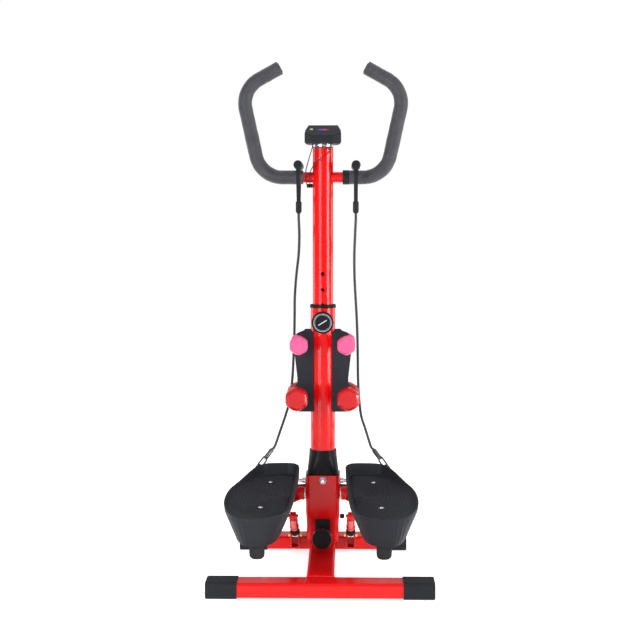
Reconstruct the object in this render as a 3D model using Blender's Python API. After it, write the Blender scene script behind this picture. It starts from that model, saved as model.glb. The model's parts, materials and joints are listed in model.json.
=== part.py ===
"""Stepper with a telescoping mast, two swinging pedals, hydraulic dampers, a dumbbell rack and two elastic ropes.

Metres, +Z up. The origin is on the floor, under the middle of the base. The user stands at -Y, on the pedals,
and faces the mast at +Y. +X is the user's right. Nothing in this file depends on anything outside Blender.
"""

import math

import bmesh
import bpy
from mathutils import Matrix, Vector

# ---------------------------------------------------------------- driving dimensions
GAP = 0.0003  # between pieces that touch
RUN = 0.0003  # radial running clearance of pins and sliding tubes

BASE_LENGTH = 0.480  # near crossbar over its end caps
FAR_LENGTH = 0.400  # far crossbar over its end caps
BASE_DEPTH = 0.474  # from the near crossbar's front to the far crossbar's back, over the caps
BAR_DEPTH = 0.058
BAR_HEIGHT = 0.032
BAR_WALL = 0.002
BAR_CORNER = 0.005
CAP_WALL = 0.0022
CAP_LENGTH = 0.066
CAP_END = 0.004
SPINE_WIDTH = 0.060

MAST_Y = 0.167
LOWER_MAST_RADIUS = 0.02915
LOWER_MAST_WALL = 0.0030
LOWER_MAST_TOP = 0.5845
UPPER_MAST_RADIUS = 0.02405
UPPER_MAST_WALL = 0.0022
UPPER_MAST_TOP = 0.9605
UPPER_MAST_BOTTOM = 0.400
COLLAR_RADIUS = 0.0309
COLLAR_HEIGHT = 0.008
COLLAR_INSERT = 0.018

COLUMN_DEPTH = 0.075
COLUMN_FRONT = 0.130
COLUMN_TOP = 0.190
COLUMN_WALL = 0.003
COLUMN_FOOT_HALF = 0.0378
COLUMN_HEAD_HALF = 0.0406
COLUMN_CORNER = 0.009
SLEEVE_HEIGHT = 0.058
SLEEVE_WALL = 0.0026

HOLE_PITCH = 0.037
HOLE_RADIUS = 0.0047
HOLES_ABOVE = 3
HOLES_BELOW = 2
PIN_Z = 0.5536
PIN_RADIUS = 0.0042
PIN_KNOB_RADIUS = 0.0258
PIN_KNOB_DEPTH = 0.020
PIN_HOUSING_RADIUS = 0.0120
PIN_HOUSING_LENGTH = 0.020

PIVOT_Y = 0.150
PIVOT_Z = 0.145
AXLE_RADIUS = 0.008
PIVOT_TUBE_RADIUS = 0.016
PIVOT_TUBE_LENGTH = 0.088
COLUMN_WASHER = 0.0025
CROSS_BOLT_Z = 0.1725
CROSS_BOLT_RADIUS = 0.004
FRONT_BOLT_Z = 0.1785
FRONT_BOLT_RADIUS = 0.004
BOLT_HEAD_RADIUS = 0.0096

HEEL_Y = -0.200
TREAD_HEEL_Z = 0.155
TREAD_SLOPE = 0.138
TREAD_THICKNESS = 0.005
PEDAL_WALL = 0.0035
RIM_WIDTH = 0.005
RIM_LOW = 0.007
RIM_HIGH = 0.024
SKIRT_HEEL_Z = 0.100
SKIRT_TOE_Z = 0.165
SKIRT_DRAFT = 0.009  # lengthways, and sideways at the toe
SKIRT_HEEL_DRAFT = 0.024  # sideways at the heel, where the skirt is deep
PEDAL_STEPS = 52

ARM_WIDTH = 0.036
ARM_HEIGHT = 0.024
ARM_WALL = 0.0025
ARM_HEEL_Y = -0.177
ARM_TOE_Y = 0.143
ARM_HEEL_Z = 0.1122
ARM_TOE_Z = 0.1430
SCREW_TOE_Y = 0.0486
SCREW_HEEL_Y = -0.1144
SCREW_TOE_X = 0.1176
SCREW_HEEL_X = 0.1310
SCREW_RADIUS = 0.003
SCREW_HEAD_RADIUS = 0.0060
BOSS_RADIUS = 0.009
BUMPER_RADIUS = 0.0165
BUMPER_LENGTH = 0.030
BUMPER_Y = -0.168

DAMPER_X = 0.066
DAMPER_LOW_Y = 0.158
DAMPER_LOW_Z = 0.0445
DAMPER_HIGH_Y = 0.030
DAMPER_HIGH_Z = 0.1180
DAMPER_RADIUS = 0.0100
DAMPER_ROD_RADIUS = 0.0040
DAMPER_EYE_RADIUS = 0.0085
DAMPER_EYE_WIDTH = 0.014
DAMPER_BODY_START = 0.058
DAMPER_PIN_RADIUS = 0.0035
DAMPER_HIGH_BORE = 0.0052
EAR_THICKNESS = 0.003

ROCKER_HALF = 0.090
ROCKER_THICKNESS = 0.008
ROCKER_HEIGHT = 0.022
ROCKER_TIP_HEIGHT = 0.014
ROCKER_PIN_RADIUS = 0.006
ROCKER_STANDOFF = 0.007
LUG_X = 0.074
LUG_THICKNESS = 0.006
LUG_WINDOW_Y = 0.0035
LUG_WINDOW_Z = 0.0035
LUG_RIM = 0.007

TENSION_Z = 0.0647
TENSION_KNOB_RADIUS = 0.0217
TENSION_KNOB_DEPTH = 0.022
TENSION_KNOB_FRONT = 0.020
TENSION_ROD_RADIUS = 0.005
TENSION_PLATE_WIDTH = 0.036
TENSION_PLATE_HEIGHT = 0.046
TENSION_PLATE_THICKNESS = 0.004

RACK_Y = 0.148
RACK_THICKNESS = 0.004
RACK_INNER = 0.0220
RACK_TOP = 0.536
RACK_BOTTOM = 0.340
RACK_FLANGE = 0.016
PINK_X = 0.0550
PINK_Z = 0.5010
PINK_LENGTH = 0.128
PINK_HEAD = 0.0220
PINK_HEAD_LENGTH = 0.036
PINK_GRIP = 0.0115
RED_X = 0.0598
RED_Z = 0.3765
RED_LENGTH = 0.140
RED_HEAD = 0.0272
RED_HEAD_LENGTH = 0.042
RED_GRIP = 0.0128
SEAT_CLEARANCE = 0.0008
LIFT_ANGLE = math.radians(40.0)  # the seats open outward and upward at this angle

BAR_Z = 0.8900
BAR_RADIUS = 0.0124
BAR_TUBE_WALL = 0.0020
FOAM_RADIUS = 0.0163
FOAM_START = 0.0460
FOAM_END_WALL = 0.006
HORN_CORNER_X = 0.1457
HORN_TOP_X = 0.1906
HORN_TOP_Z = 1.0942
HORN_TIP_X = 0.1004
HORN_TIP_Z = 1.1440
HORN_BEND = 0.063

CONSOLE_BOTTOM = 0.9665
CONSOLE_FRONT_Z = 0.9850
CONSOLE_BACK_Z = 1.0140
CONSOLE_FRONT = 0.1230
CONSOLE_BACK = 0.1980
CONSOLE_HALF = 0.0425
CONSOLE_FACE_HALF = 0.0250
CONSOLE_BACK_HALF = 0.0360
SCREEN_WIDTH = 0.034
SCREEN_DEPTH = 0.018
SCREEN_THICKNESS = 0.002
BUTTON_RADIUS = 0.0042
BUTTON_TRAVEL = 0.0010
BUTTON_X = -0.0270
BRACKET_THICKNESS = 0.003
BRACKET_PLUG = 0.012

GRIP_LENGTH = 0.104
GRIP_RADIUS = 0.0105
STRAP_WIDTH = 0.009
STRAP_THICKNESS = 0.004
CLAMP_RADIUS = 0.0070
CLAMP_LENGTH = 0.026
CLAMP_DROP = 0.058
LEFT_HANDLE_X = -0.057
RIGHT_HANDLE_X = 0.077

ROPE_RADIUS = 0.0031
WIRE_RADIUS = 0.0011
ROPE_SLEEVE_RADIUS = 0.0055
ROPE_SLEEVE_LENGTH = 0.030
HOOK_WIRE = 0.0020
HOOK_HALF_WIDTH = 0.0085
HOOK_REACH = 0.028
EYE_RADIUS = 0.0085
EYE_HOLE_RADIUS = 0.0045
EYE_THICKNESS = 0.005
EYE_OFFSET = 0.0068

ROUND = 24
BAR_ROUND = 14
SMALL_ROUND = 16

# ---------------------------------------------------------------- derived places
HALF_DEPTH = BASE_DEPTH / 2
BAR_FOOT = CAP_WALL
BAR_TOP = BAR_FOOT + BAR_HEIGHT
NEAR_Y = -HALF_DEPTH + CAP_WALL + BAR_DEPTH / 2
FAR_Y = HALF_DEPTH - CAP_WALL - BAR_DEPTH / 2
COLUMN_BACK = COLUMN_FRONT + COLUMN_DEPTH
ARM_SLOPE = (ARM_TOE_Z - ARM_HEEL_Z) / (ARM_TOE_Y - ARM_HEEL_Y)
COLUMN_BOTTOM = BAR_TOP + GAP
MAST_FRONT = MAST_Y - LOWER_MAST_RADIUS
PIVOT_TUBE_START = COLUMN_HEAD_HALF + COLUMN_WASHER + 2 * GAP
PIVOT_TUBE_END = PIVOT_TUBE_START + PIVOT_TUBE_LENGTH
ROCKER_Y = COLUMN_BACK + ROCKER_STANDOFF + ROCKER_THICKNESS / 2
GRIP_Z = BAR_Z + FOAM_RADIUS + GAP + GRIP_RADIUS
CLAMP_TOP = BAR_Z - CLAMP_DROP

SIDES = {"left": -1, "right": 1}


# ---------------------------------------------------------------- modelling helpers
def clear_scene():
    for obj in list(bpy.data.objects):
        bpy.data.objects.remove(obj, do_unlink=True)


def finish(name, colour, roughness, metallic=0.0):
    """A Principled BSDF material of one colour."""
    mat = bpy.data.materials.new(name)
    mat.use_nodes = True
    shader = mat.node_tree.nodes["Principled BSDF"]
    shader.inputs["Base Color"].default_value = (*colour, 1.0)
    shader.inputs["Roughness"].default_value = roughness
    shader.inputs["Metallic"].default_value = metallic
    mat.diffuse_color = (*colour, 1.0)
    return mat


def solid(name, bm, mat, pivot=(0.0, 0.0, 0.0), smooth=True):
    """Makes an object of the mesh, which is in world coordinates, with its origin at pivot."""
    bmesh.ops.recalc_face_normals(bm, faces=bm.faces)
    bmesh.ops.translate(bm, verts=bm.verts, vec=-Vector(pivot))
    mesh = bpy.data.meshes.new(name)
    bm.to_mesh(mesh)
    bm.free()
    if smooth:
        mesh.shade_smooth()
        mesh.set_sharp_from_angle(angle=math.radians(35))
    mesh.materials.append(mat)
    obj = bpy.data.objects.new(name, mesh)
    obj.location = pivot
    bpy.context.scene.collection.objects.link(obj)
    return obj


def helper(name, bm):
    """A solid that only cuts or joins others."""
    obj = solid(name, bm, MATERIALS["cutter"], smooth=False)
    obj.hide_render = True
    obj.display_type = "WIRE"
    return obj


def combine(obj, other, operation):
    modifier = obj.modifiers.new(operation.title(), "BOOLEAN")
    modifier.object = other
    modifier.operation = operation
    modifier.solver = "EXACT"


def skin(rings, closed=False):
    """A closed mesh over rings of equally many points. The first and last rings are capped unless closed."""
    bm = bmesh.new()
    rows = [[bm.verts.new(point) for point in ring] for ring in rings]
    count = len(rows[0])
    pairs = list(zip(rows, rows[1:]))
    if closed:
        pairs.append((rows[-1], rows[0]))
    for low, high in pairs:
        for i in range(count):
            j = (i + 1) % count
            bm.faces.new((low[i], low[j], high[j], high[i]))
    if not closed:
        bm.faces.new(rows[0])
        bm.faces.new(rows[-1][::-1])
    return bm


def turning(axis):
    """The rotation that takes +Z to the axis."""
    return Vector((0, 0, 1)).rotation_difference(Vector(axis)).to_matrix()


def turned(profile, centre, axis=(0, 0, 1), steps=ROUND, closed=False):
    """A solid of revolution from (radius, height) points along the axis."""
    turn = turning(axis)
    rings = []
    for radius, height in profile:
        ring = []
        for i in range(steps):
            angle = math.tau * (i + 0.5) / steps
            flat = Vector((radius * math.cos(angle), radius * math.sin(angle), height))
            ring.append(Vector(centre) + turn @ flat)
        rings.append(ring)
    return skin(rings, closed)


def rod(start, end, radius, steps=SMALL_ROUND, chamfer=0.0):
    span = Vector(end) - Vector(start)
    length = span.length
    profile = [(radius, 0.0), (radius, length)]
    if chamfer:
        edge = radius - chamfer
        profile = [(edge, 0.0), (radius, chamfer), (radius, length - chamfer), (edge, length)]
    return turned(profile, start, span.normalized(), steps)


def pipe(start, end, outer, inner, steps=ROUND):
    span = Vector(end) - Vector(start)
    length = span.length
    profile = [(outer, 0.0), (outer, length), (inner, length), (inner, 0.0)]
    return turned(profile, start, span.normalized(), steps, closed=True)


def block(low, high, bevel=0.0, segments=2):
    bm = bmesh.new()
    bmesh.ops.create_cube(bm, size=1.0)
    low, high = Vector(low), Vector(high)
    for vert in bm.verts:
        vert.co = Vector(low[i] + (vert.co[i] + 0.5) * (high[i] - low[i]) for i in range(3))
    if bevel:
        bmesh.ops.bevel(bm, geom=bm.edges[:], offset=bevel, segments=segments, affect="EDGES")
    return bm


def prism(outline, low, high, across="y"):
    """Extrudes a flat outline. Its points are (x, z) for across y, (y, z) for x and (x, y) for z."""
    place = {
        "x": lambda a, b, c: (c, a, b),
        "y": lambda a, b, c: (a, c, b),
        "z": lambda a, b, c: (a, b, c),
    }[across]
    rings = [[Vector(place(a, b, level)) for a, b in outline] for level in (low, high)]
    return skin(rings)


def rounded_rectangle(half_a, half_b, corner, steps=3):
    points = []
    for quarter in range(4):
        sign_a = (1, -1, -1, 1)[quarter]
        sign_b = (1, 1, -1, -1)[quarter]
        for i in range(steps + 1):
            angle = math.pi / 2 * (quarter + i / steps)
            a = sign_a * (half_a - corner) + corner * math.cos(angle)
            b = sign_b * (half_b - corner) + corner * math.sin(angle)
            points.append((a, b))
    return points


def box_tube(start, end, half_side, half_up, corner, wall, side=(0, 0, 1)):
    """A rectangular tube from start to end, with side as the direction of its half_up."""
    start, end = Vector(start), Vector(end)
    along = (end - start).normalized()
    up = (Vector(side) - along * along.dot(Vector(side))).normalized()
    across = along.cross(up)
    outer = rounded_rectangle(half_side, half_up, corner)
    inner = rounded_rectangle(half_side - wall, half_up - wall, max(corner - wall, wall / 2))
    rings = []
    for centre, outline in ((start, outer), (end, outer), (end, inner), (start, inner)):
        rings.append([centre + across * a + up * b for a, b in outline])
    return skin(rings, closed=True)


def ring_at(centre, along, radius, steps, reference):
    """A ring of points about the direction along, turned to suit the reference direction."""
    across = along.cross(reference).normalized()
    up = across.cross(along).normalized()
    ring = []
    for i in range(steps):
        angle = math.tau * (i + 0.5) / steps
        ring.append(centre + across * (radius * math.cos(angle)) + up * (radius * math.sin(angle)))
    return ring


def path_rings(points, radius, steps, reference):
    rings = []
    last = len(points) - 1
    for i, point in enumerate(points):
        along = (points[min(i + 1, last)] - points[max(i - 1, 0)]).normalized()
        rings.append(ring_at(point, along, radius, steps, reference))
    return rings


def rounded_path(corners, radius, steps=5):
    """Straight runs between corners, with an arc of one radius at each inner corner."""
    points = [Vector(corners[0])]
    for before, corner, after in zip(corners, corners[1:], corners[2:]):
        before, corner, after = Vector(before), Vector(corner), Vector(after)
        back = (before - corner).normalized()
        ahead = (after - corner).normalized()
        half = back.angle(ahead) / 2
        centre = corner + (back + ahead).normalized() * (radius / math.sin(half))
        start = corner + back * (radius / math.tan(half))
        end = corner + ahead * (radius / math.tan(half))
        sweep = (start - centre).angle(end - centre)
        for i in range(steps + 1):
            share = i / steps
            first = math.sin((1 - share) * sweep) / math.sin(sweep)
            second = math.sin(share * sweep) / math.sin(sweep)
            points.append(centre + (start - centre) * first + (end - centre) * second)
    points.append(Vector(corners[-1]))
    return points


def smooth_line(route, spacing):
    """Points about spacing apart along a smooth curve through the route's own points."""
    route = [Vector(point) for point in route]
    padded = [2 * route[0] - route[1], *route, 2 * route[-1] - route[-2]]
    fine = []
    for a, b, c, d in zip(padded, padded[1:], padded[2:], padded[3:]):
        for i in range(20):
            t = i / 20
            fine.append(
                0.5 * (2 * b + (c - a) * t + (2 * a - 5 * b + 4 * c - d) * t * t + (3 * b - a - 3 * c + d) * t**3)
            )
    fine.append(route[-1])
    length = sum((q - p).length for p, q in zip(fine, fine[1:]))
    count = max(2, round(length / spacing))
    points = [fine[0]]
    walked = 0.0
    target = length / count
    for p, q in zip(fine, fine[1:]):
        step = (q - p).length
        while walked + step >= target - 1e-9 and len(points) < count:
            points.append(p.lerp(q, (target - walked) / step))
            target += length / count
        walked += step
    points.append(fine[-1])
    return points


def cord(name, route, radius, mat, resolution):
    curve = bpy.data.curves.new(name, "CURVE")
    curve.dimensions = "3D"
    curve.bevel_depth = radius
    curve.bevel_resolution = resolution
    curve.use_fill_caps = True
    points = smooth_line(route, radius * 6)
    spline = curve.splines.new("POLY")
    spline.points.add(len(points) - 1)
    for place, point in zip(spline.points, points):
        place.co = (*point, 1.0)
    curve.materials.append(mat)
    obj = bpy.data.objects.new(name, curve)
    bpy.context.scene.collection.objects.link(obj)
    return obj


def smoothstep(low, high, value):
    share = min(1.0, max(0.0, (value - low) / (high - low)))
    return share * share * (3 - 2 * share)


# ---------------------------------------------------------------- base frame
def crossbar(name, y, length):
    half = length / 2 - CAP_END
    middle_z = BAR_FOOT + BAR_HEIGHT / 2
    bm = box_tube((-half, y, middle_z), (half, y, middle_z), BAR_DEPTH / 2, BAR_HEIGHT / 2, BAR_CORNER, BAR_WALL)
    return solid(name, bm, MATERIALS["red_paint"])


def end_cap(name, y, length, side):
    """A moulded cap pushed over one end of a crossbar."""
    middle_z = BAR_FOOT + BAR_HEIGHT / 2
    outer_end = side * length / 2
    mouth = side * (length / 2 - CAP_LENGTH)
    floor = side * (length / 2 - CAP_END + GAP)
    inner = rounded_rectangle(BAR_DEPTH / 2 + GAP, BAR_HEIGHT / 2 + GAP, BAR_CORNER)
    outer = rounded_rectangle(BAR_DEPTH / 2 + CAP_WALL, BAR_HEIGHT / 2 + CAP_WALL, BAR_CORNER + CAP_WALL)
    end = rounded_rectangle(BAR_DEPTH / 2 + CAP_WALL / 2, BAR_HEIGHT / 2 + CAP_WALL / 2, BAR_CORNER + CAP_WALL)
    shoulder = outer_end - side * CAP_WALL
    levels = ((floor, inner), (mouth, inner), (mouth, outer), (shoulder, outer), (outer_end, end))
    rings = [[Vector((x, y + a, middle_z + b)) for a, b in outline] for x, outline in levels]
    return solid(name, skin(rings), MATERIALS["cap_plastic"])


def spine_tube():
    start = NEAR_Y + BAR_DEPTH / 2 + GAP
    end = FAR_Y - BAR_DEPTH / 2 - GAP
    middle_z = BAR_FOOT + BAR_HEIGHT / 2
    bm = box_tube((0, start, middle_z), (0, end, middle_z), SPINE_WIDTH / 2, BAR_HEIGHT / 2, BAR_CORNER, BAR_WALL)
    return solid("spine_tube", bm, MATERIALS["red_paint"])


def column():
    """The upright housing: a rectangular tube, wider at the head than at the foot."""
    middle_y = COLUMN_FRONT + COLUMN_DEPTH / 2
    shape = (
        (COLUMN_BOTTOM, COLUMN_FOOT_HALF),
        (COLUMN_BOTTOM + 0.036, COLUMN_FOOT_HALF),
        (COLUMN_BOTTOM + 0.070, COLUMN_HEAD_HALF - 0.0006),
        (COLUMN_TOP, COLUMN_HEAD_HALF),
    )
    rings = []
    for inset, levels in ((0.0, shape), (COLUMN_WALL, shape[::-1])):
        for z, half in levels:
            outline = rounded_rectangle(half - inset, COLUMN_DEPTH / 2 - inset, COLUMN_CORNER - inset)
            rings.append([Vector((a, middle_y + b, z)) for a, b in outline])
    obj = solid("column", skin(rings, closed=True), MATERIALS["red_paint"])
    reach = COLUMN_HEAD_HALF + 0.02
    bores = (
        ("axle_bore", (-reach, PIVOT_Y, PIVOT_Z), (reach, PIVOT_Y, PIVOT_Z), AXLE_RADIUS + RUN),
        ("cross_bore", (-reach, MAST_Y, CROSS_BOLT_Z), (reach, MAST_Y, CROSS_BOLT_Z), CROSS_BOLT_RADIUS + RUN),
        ("front_bore", (0, COLUMN_FRONT - 0.01, FRONT_BOLT_Z), (0, MAST_Y, FRONT_BOLT_Z), FRONT_BOLT_RADIUS + RUN),
        ("screw_bore", (0, COLUMN_FRONT - 0.01, TENSION_Z), (0, MAST_Y, TENSION_Z), TENSION_ROD_RADIUS + RUN),
        ("rocker_bore", (0, MAST_Y + 0.01, PIVOT_Z), (0, COLUMN_BACK + 0.01, PIVOT_Z), ROCKER_PIN_RADIUS + RUN),
    )
    for name, start, end, radius in bores:
        combine(obj, helper(name, rod(start, end, radius)), "DIFFERENCE")
    return obj


def column_sleeve():
    """A moulded sleeve between the column's open head and the round mast."""
    bottom = COLUMN_TOP + GAP
    top = bottom + SLEEVE_HEIGHT
    middle_y = COLUMN_FRONT + COLUMN_DEPTH / 2
    inner = LOWER_MAST_RADIUS + GAP
    top_outer = inner + SLEEVE_WALL
    bottom_half = COLUMN_HEAD_HALF - 0.003
    rings = []
    shape = (
        (bottom, bottom_half, COLUMN_DEPTH / 2 - 0.003, 0.016, middle_y),
        (bottom + 0.75 * SLEEVE_HEIGHT, top_outer + 0.0006, top_outer + 0.0006, top_outer, MAST_Y),
        (top, top_outer, top_outer, top_outer - 0.0002, MAST_Y),
    )
    for z, half_x, half_y, corner, centre in shape:
        outline = rounded_rectangle(half_x, half_y, corner, steps=7)
        rings.append([Vector((a, centre + b, z)) for a, b in outline])
    bore = rounded_rectangle(inner, inner, inner - 0.0001, steps=7)
    for z in (top, bottom):
        rings.append([Vector((a, MAST_Y + b, z)) for a, b in bore])
    return solid("column_sleeve", skin(rings, closed=True), MATERIALS["sleeve_plastic"])


# ---------------------------------------------------------------- mast
def lower_mast():
    bottom = PIVOT_Z + AXLE_RADIUS + 0.006
    inner = LOWER_MAST_RADIUS - LOWER_MAST_WALL
    bm = pipe((0, MAST_Y, bottom), (0, MAST_Y, LOWER_MAST_TOP), LOWER_MAST_RADIUS, inner)
    obj = solid("lower_mast", bm, MATERIALS["red_paint"])
    reach = LOWER_MAST_RADIUS + 0.02
    bores = (
        ("pin_bore", (0, MAST_Y - reach, PIN_Z), (0, MAST_Y, PIN_Z), PIN_RADIUS + RUN),
        ("bolt_bore", (-reach, MAST_Y, CROSS_BOLT_Z), (reach, MAST_Y, CROSS_BOLT_Z), CROSS_BOLT_RADIUS + RUN),
        ("stud_bore", (0, MAST_Y - reach, FRONT_BOLT_Z), (0, MAST_Y, FRONT_BOLT_Z), FRONT_BOLT_RADIUS + RUN),
    )
    for name, start, end, radius in bores:
        combine(obj, helper(name, rod(start, end, radius)), "DIFFERENCE")
    return obj


def mast_collar():
    """The guide bush that the upper mast slides in, with its lip on top of the lower mast."""
    bore = UPPER_MAST_RADIUS + RUN
    insert = LOWER_MAST_RADIUS - LOWER_MAST_WALL - GAP
    lip = LOWER_MAST_TOP + GAP
    profile = [
        (bore, lip - COLLAR_INSERT),
        (insert, lip - COLLAR_INSERT),
        (insert, lip),
        (COLLAR_RADIUS, lip),
        (COLLAR_RADIUS, lip + COLLAR_HEIGHT - 0.002),
        (COLLAR_RADIUS - 0.002, lip + COLLAR_HEIGHT),
        (bore, lip + COLLAR_HEIGHT),
    ]
    return solid("mast_collar", turned(profile, (0, MAST_Y, 0), closed=True), MATERIALS["sleeve_plastic"])


def upper_mast():
    inner = UPPER_MAST_RADIUS - UPPER_MAST_WALL
    bm = pipe((0, MAST_Y, UPPER_MAST_BOTTOM), (0, MAST_Y, UPPER_MAST_TOP), UPPER_MAST_RADIUS, inner)
    obj = solid("upper_mast", bm, MATERIALS["red_paint"])
    for k in range(-HOLES_BELOW, HOLES_ABOVE + 1):
        z = PIN_Z + k * HOLE_PITCH
        drill = rod((0, MAST_Y - 2 * UPPER_MAST_RADIUS, z), (0, MAST_Y, z), HOLE_RADIUS)
        combine(obj, helper(f"height_hole_{k}", drill), "DIFFERENCE")
    reach = 2 * UPPER_MAST_RADIUS
    bar_bore = rod((-reach, MAST_Y, BAR_Z), (reach, MAST_Y, BAR_Z), BAR_RADIUS + GAP, steps=ROUND)
    combine(obj, helper("handlebar_bore", bar_bore), "DIFFERENCE")
    return obj


def pin_housing():
    """The threaded boss on the mast's front that guides the spring pin."""
    front = MAST_FRONT - PIN_HOUSING_LENGTH
    bore = PIN_RADIUS + RUN
    profile = [
        (PIN_HOUSING_RADIUS - 0.001, 0.0),
        (PIN_HOUSING_RADIUS, 0.001),
        (PIN_HOUSING_RADIUS, PIN_HOUSING_LENGTH + 0.006),
        (bore, PIN_HOUSING_LENGTH + 0.006),
        (bore, 0.0),
    ]
    bm = turned(profile, (0, front, PIN_Z), (0, 1, 0), steps=24, closed=True)
    obj = solid("pin_housing", bm, MATERIALS["red_paint"])
    low = (0, MAST_Y, PIN_Z - 0.05)
    high = (0, MAST_Y, PIN_Z + 0.05)
    combine(obj, helper("mast_surface", rod(low, high, LOWER_MAST_RADIUS + GAP, steps=ROUND)), "DIFFERENCE")
    return obj


def pin_knob():
    """The round knob with its spring pin, which stops just short of the inner tube."""
    back = MAST_FRONT - PIN_HOUSING_LENGTH - GAP
    tip = MAST_Y - UPPER_MAST_RADIUS - RUN
    profile = [
        (PIN_KNOB_RADIUS - 0.006, 0.0),
        (PIN_KNOB_RADIUS - 0.0035, 0.0012),
        (PIN_KNOB_RADIUS - 0.002, 0.0020),
        (PIN_KNOB_RADIUS, 0.0045),
        (PIN_KNOB_RADIUS, PIN_KNOB_DEPTH - 0.003),
        (PIN_KNOB_RADIUS - 0.003, PIN_KNOB_DEPTH),
        (PIN_RADIUS, PIN_KNOB_DEPTH),
        (PIN_RADIUS, PIN_KNOB_DEPTH + tip - back),
    ]
    centre = (0, back - PIN_KNOB_DEPTH, PIN_Z)
    bm = turned(profile, centre, (0, 1, 0))
    return solid("pin_knob", bm, MATERIALS["knob_plastic"], pivot=(0, back, PIN_Z))


# ---------------------------------------------------------------- handlebar and console
def horn_route(side):
    """One half of the handlebar's centre line, from the middle of the mast to the tip."""
    corners = [
        (0, MAST_Y, BAR_Z),
        (side * HORN_CORNER_X, MAST_Y, BAR_Z),
        (side * HORN_TOP_X, MAST_Y, HORN_TOP_Z),
        (side * HORN_TIP_X, MAST_Y, HORN_TIP_Z),
    ]
    return rounded_path(corners, HORN_BEND)


def handlebar():
    right = horn_route(1)
    left = horn_route(-1)
    ends = []
    for half in (left, right):
        back = (half[-2] - half[-1]).normalized()
        ends.append([*half[:-1], half[-1] + back * (FOAM_END_WALL + GAP)])
    points = [*reversed(ends[0]), *ends[1][1:]]
    reference = Vector((0, 1, 0))
    outer = path_rings(points, BAR_RADIUS, BAR_ROUND, reference)
    inner = path_rings(points, BAR_RADIUS - BAR_TUBE_WALL, BAR_ROUND, reference)
    return solid("handlebar", skin(outer + inner[::-1], closed=True), MATERIALS["red_paint"])


def foam_grip(side_name):
    """A foam sleeve over one horn, closed at the tip."""
    side = SIDES[side_name]
    route = horn_route(side)
    outside = [Vector((side * FOAM_START, MAST_Y, BAR_Z)), *route[1:]]
    back = (route[-2] - route[-1]).normalized()
    inside = [*outside[:-1], route[-1] + back * FOAM_END_WALL]
    reference = Vector((0, 1, 0))
    outer = path_rings(outside, FOAM_RADIUS, BAR_ROUND, reference)
    tip = path_rings([route[-1] + back * 0.003, route[-1]], FOAM_RADIUS - 0.003, BAR_ROUND, reference)
    outer[-1] = path_rings([route[-1] + back * 0.004, route[-1] + back * 0.003], FOAM_RADIUS, BAR_ROUND, reference)[-1]
    inner = path_rings(inside, BAR_RADIUS + GAP, BAR_ROUND, reference)
    rings = [*inner[::-1], *outer, tip[-1]]
    return solid(f"grip_{side_name}", skin(rings), MATERIALS["foam"])


def console_bracket():
    """A plug in the top of the mast with the plate that carries the console."""
    top = UPPER_MAST_TOP + GAP
    plug = UPPER_MAST_RADIUS - UPPER_MAST_WALL - GAP
    profile = [
        (plug - 0.001, top - BRACKET_PLUG),
        (plug, top - BRACKET_PLUG + 0.001),
        (plug, top),
        (UPPER_MAST_RADIUS, top),
        (UPPER_MAST_RADIUS, CONSOLE_BOTTOM - GAP),
    ]
    return solid("console_bracket", turned(profile, (0, MAST_Y, 0)), MATERIALS["bright_steel"])


def face_height(y):
    """Height of the console's sloping face above the floor."""
    share = (y - CONSOLE_FRONT) / (CONSOLE_BACK - CONSOLE_FRONT)
    return CONSOLE_FRONT_Z + share * (CONSOLE_BACK_Z - CONSOLE_FRONT_Z)


def face_frame(x, y):
    """Position and outward normal on the console's face."""
    rise = (CONSOLE_BACK_Z - CONSOLE_FRONT_Z) / (CONSOLE_BACK - CONSOLE_FRONT)
    normal = Vector((0, -rise, 1)).normalized()
    return Vector((x, y, face_height(y))), normal


def console_shell():
    depth = CONSOLE_BACK - CONSOLE_FRONT
    outline = [
        (-CONSOLE_FACE_HALF, CONSOLE_FRONT),
        (CONSOLE_FACE_HALF, CONSOLE_FRONT),
        (CONSOLE_HALF, CONSOLE_FRONT + 0.28 * depth),
        (CONSOLE_HALF - 0.001, CONSOLE_FRONT + 0.60 * depth),
        (CONSOLE_BACK_HALF, CONSOLE_BACK),
        (-CONSOLE_BACK_HALF, CONSOLE_BACK),
        (-CONSOLE_HALF + 0.001, CONSOLE_FRONT + 0.60 * depth),
        (-CONSOLE_HALF, CONSOLE_FRONT + 0.28 * depth),
    ]
    middle_y = CONSOLE_FRONT + depth / 2
    rings = []
    for level, shrink in (("low", 0.93), ("belly", 1.0), ("brow", 1.0), ("face", 0.955)):
        ring = []
        for x, y in outline:
            y = middle_y + (y - middle_y) * shrink
            top = face_height(y)
            z = {"low": CONSOLE_BOTTOM, "belly": CONSOLE_BOTTOM + 0.004, "brow": top - 0.003, "face": top}[level]
            ring.append(Vector((x * shrink, y, z)))
        rings.append(ring)
    obj = solid("console_shell", skin(rings), MATERIALS["console_plastic"], smooth=False)
    centre, normal = face_frame(0.0, middle_y + 0.002)
    obj_cut = screen_block("screen_recess", centre, normal, GAP, 0.004)
    combine(obj, helper("screen_recess", obj_cut), "DIFFERENCE")
    spot, _ = face_frame(BUTTON_X, middle_y + 0.004)
    well = rod(spot - normal * 0.006, spot + normal * 0.01, BUTTON_RADIUS + RUN)
    combine(obj, helper("button_well", well), "DIFFERENCE")
    return obj


def screen_block(name, centre, normal, grow, height):
    """A slab on the console's face, SCREEN_THICKNESS deep and height proud."""
    turn = turning(normal)
    half_x = SCREEN_WIDTH / 2 + grow
    half_y = SCREEN_DEPTH / 2 + grow
    outline = rounded_rectangle(half_x, half_y, 0.002, steps=2)
    rings = []
    for level in (-SCREEN_THICKNESS - grow, height):
        rings.append([centre + turn @ Vector((a, b, level)) for a, b in outline])
    return skin(rings)


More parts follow.
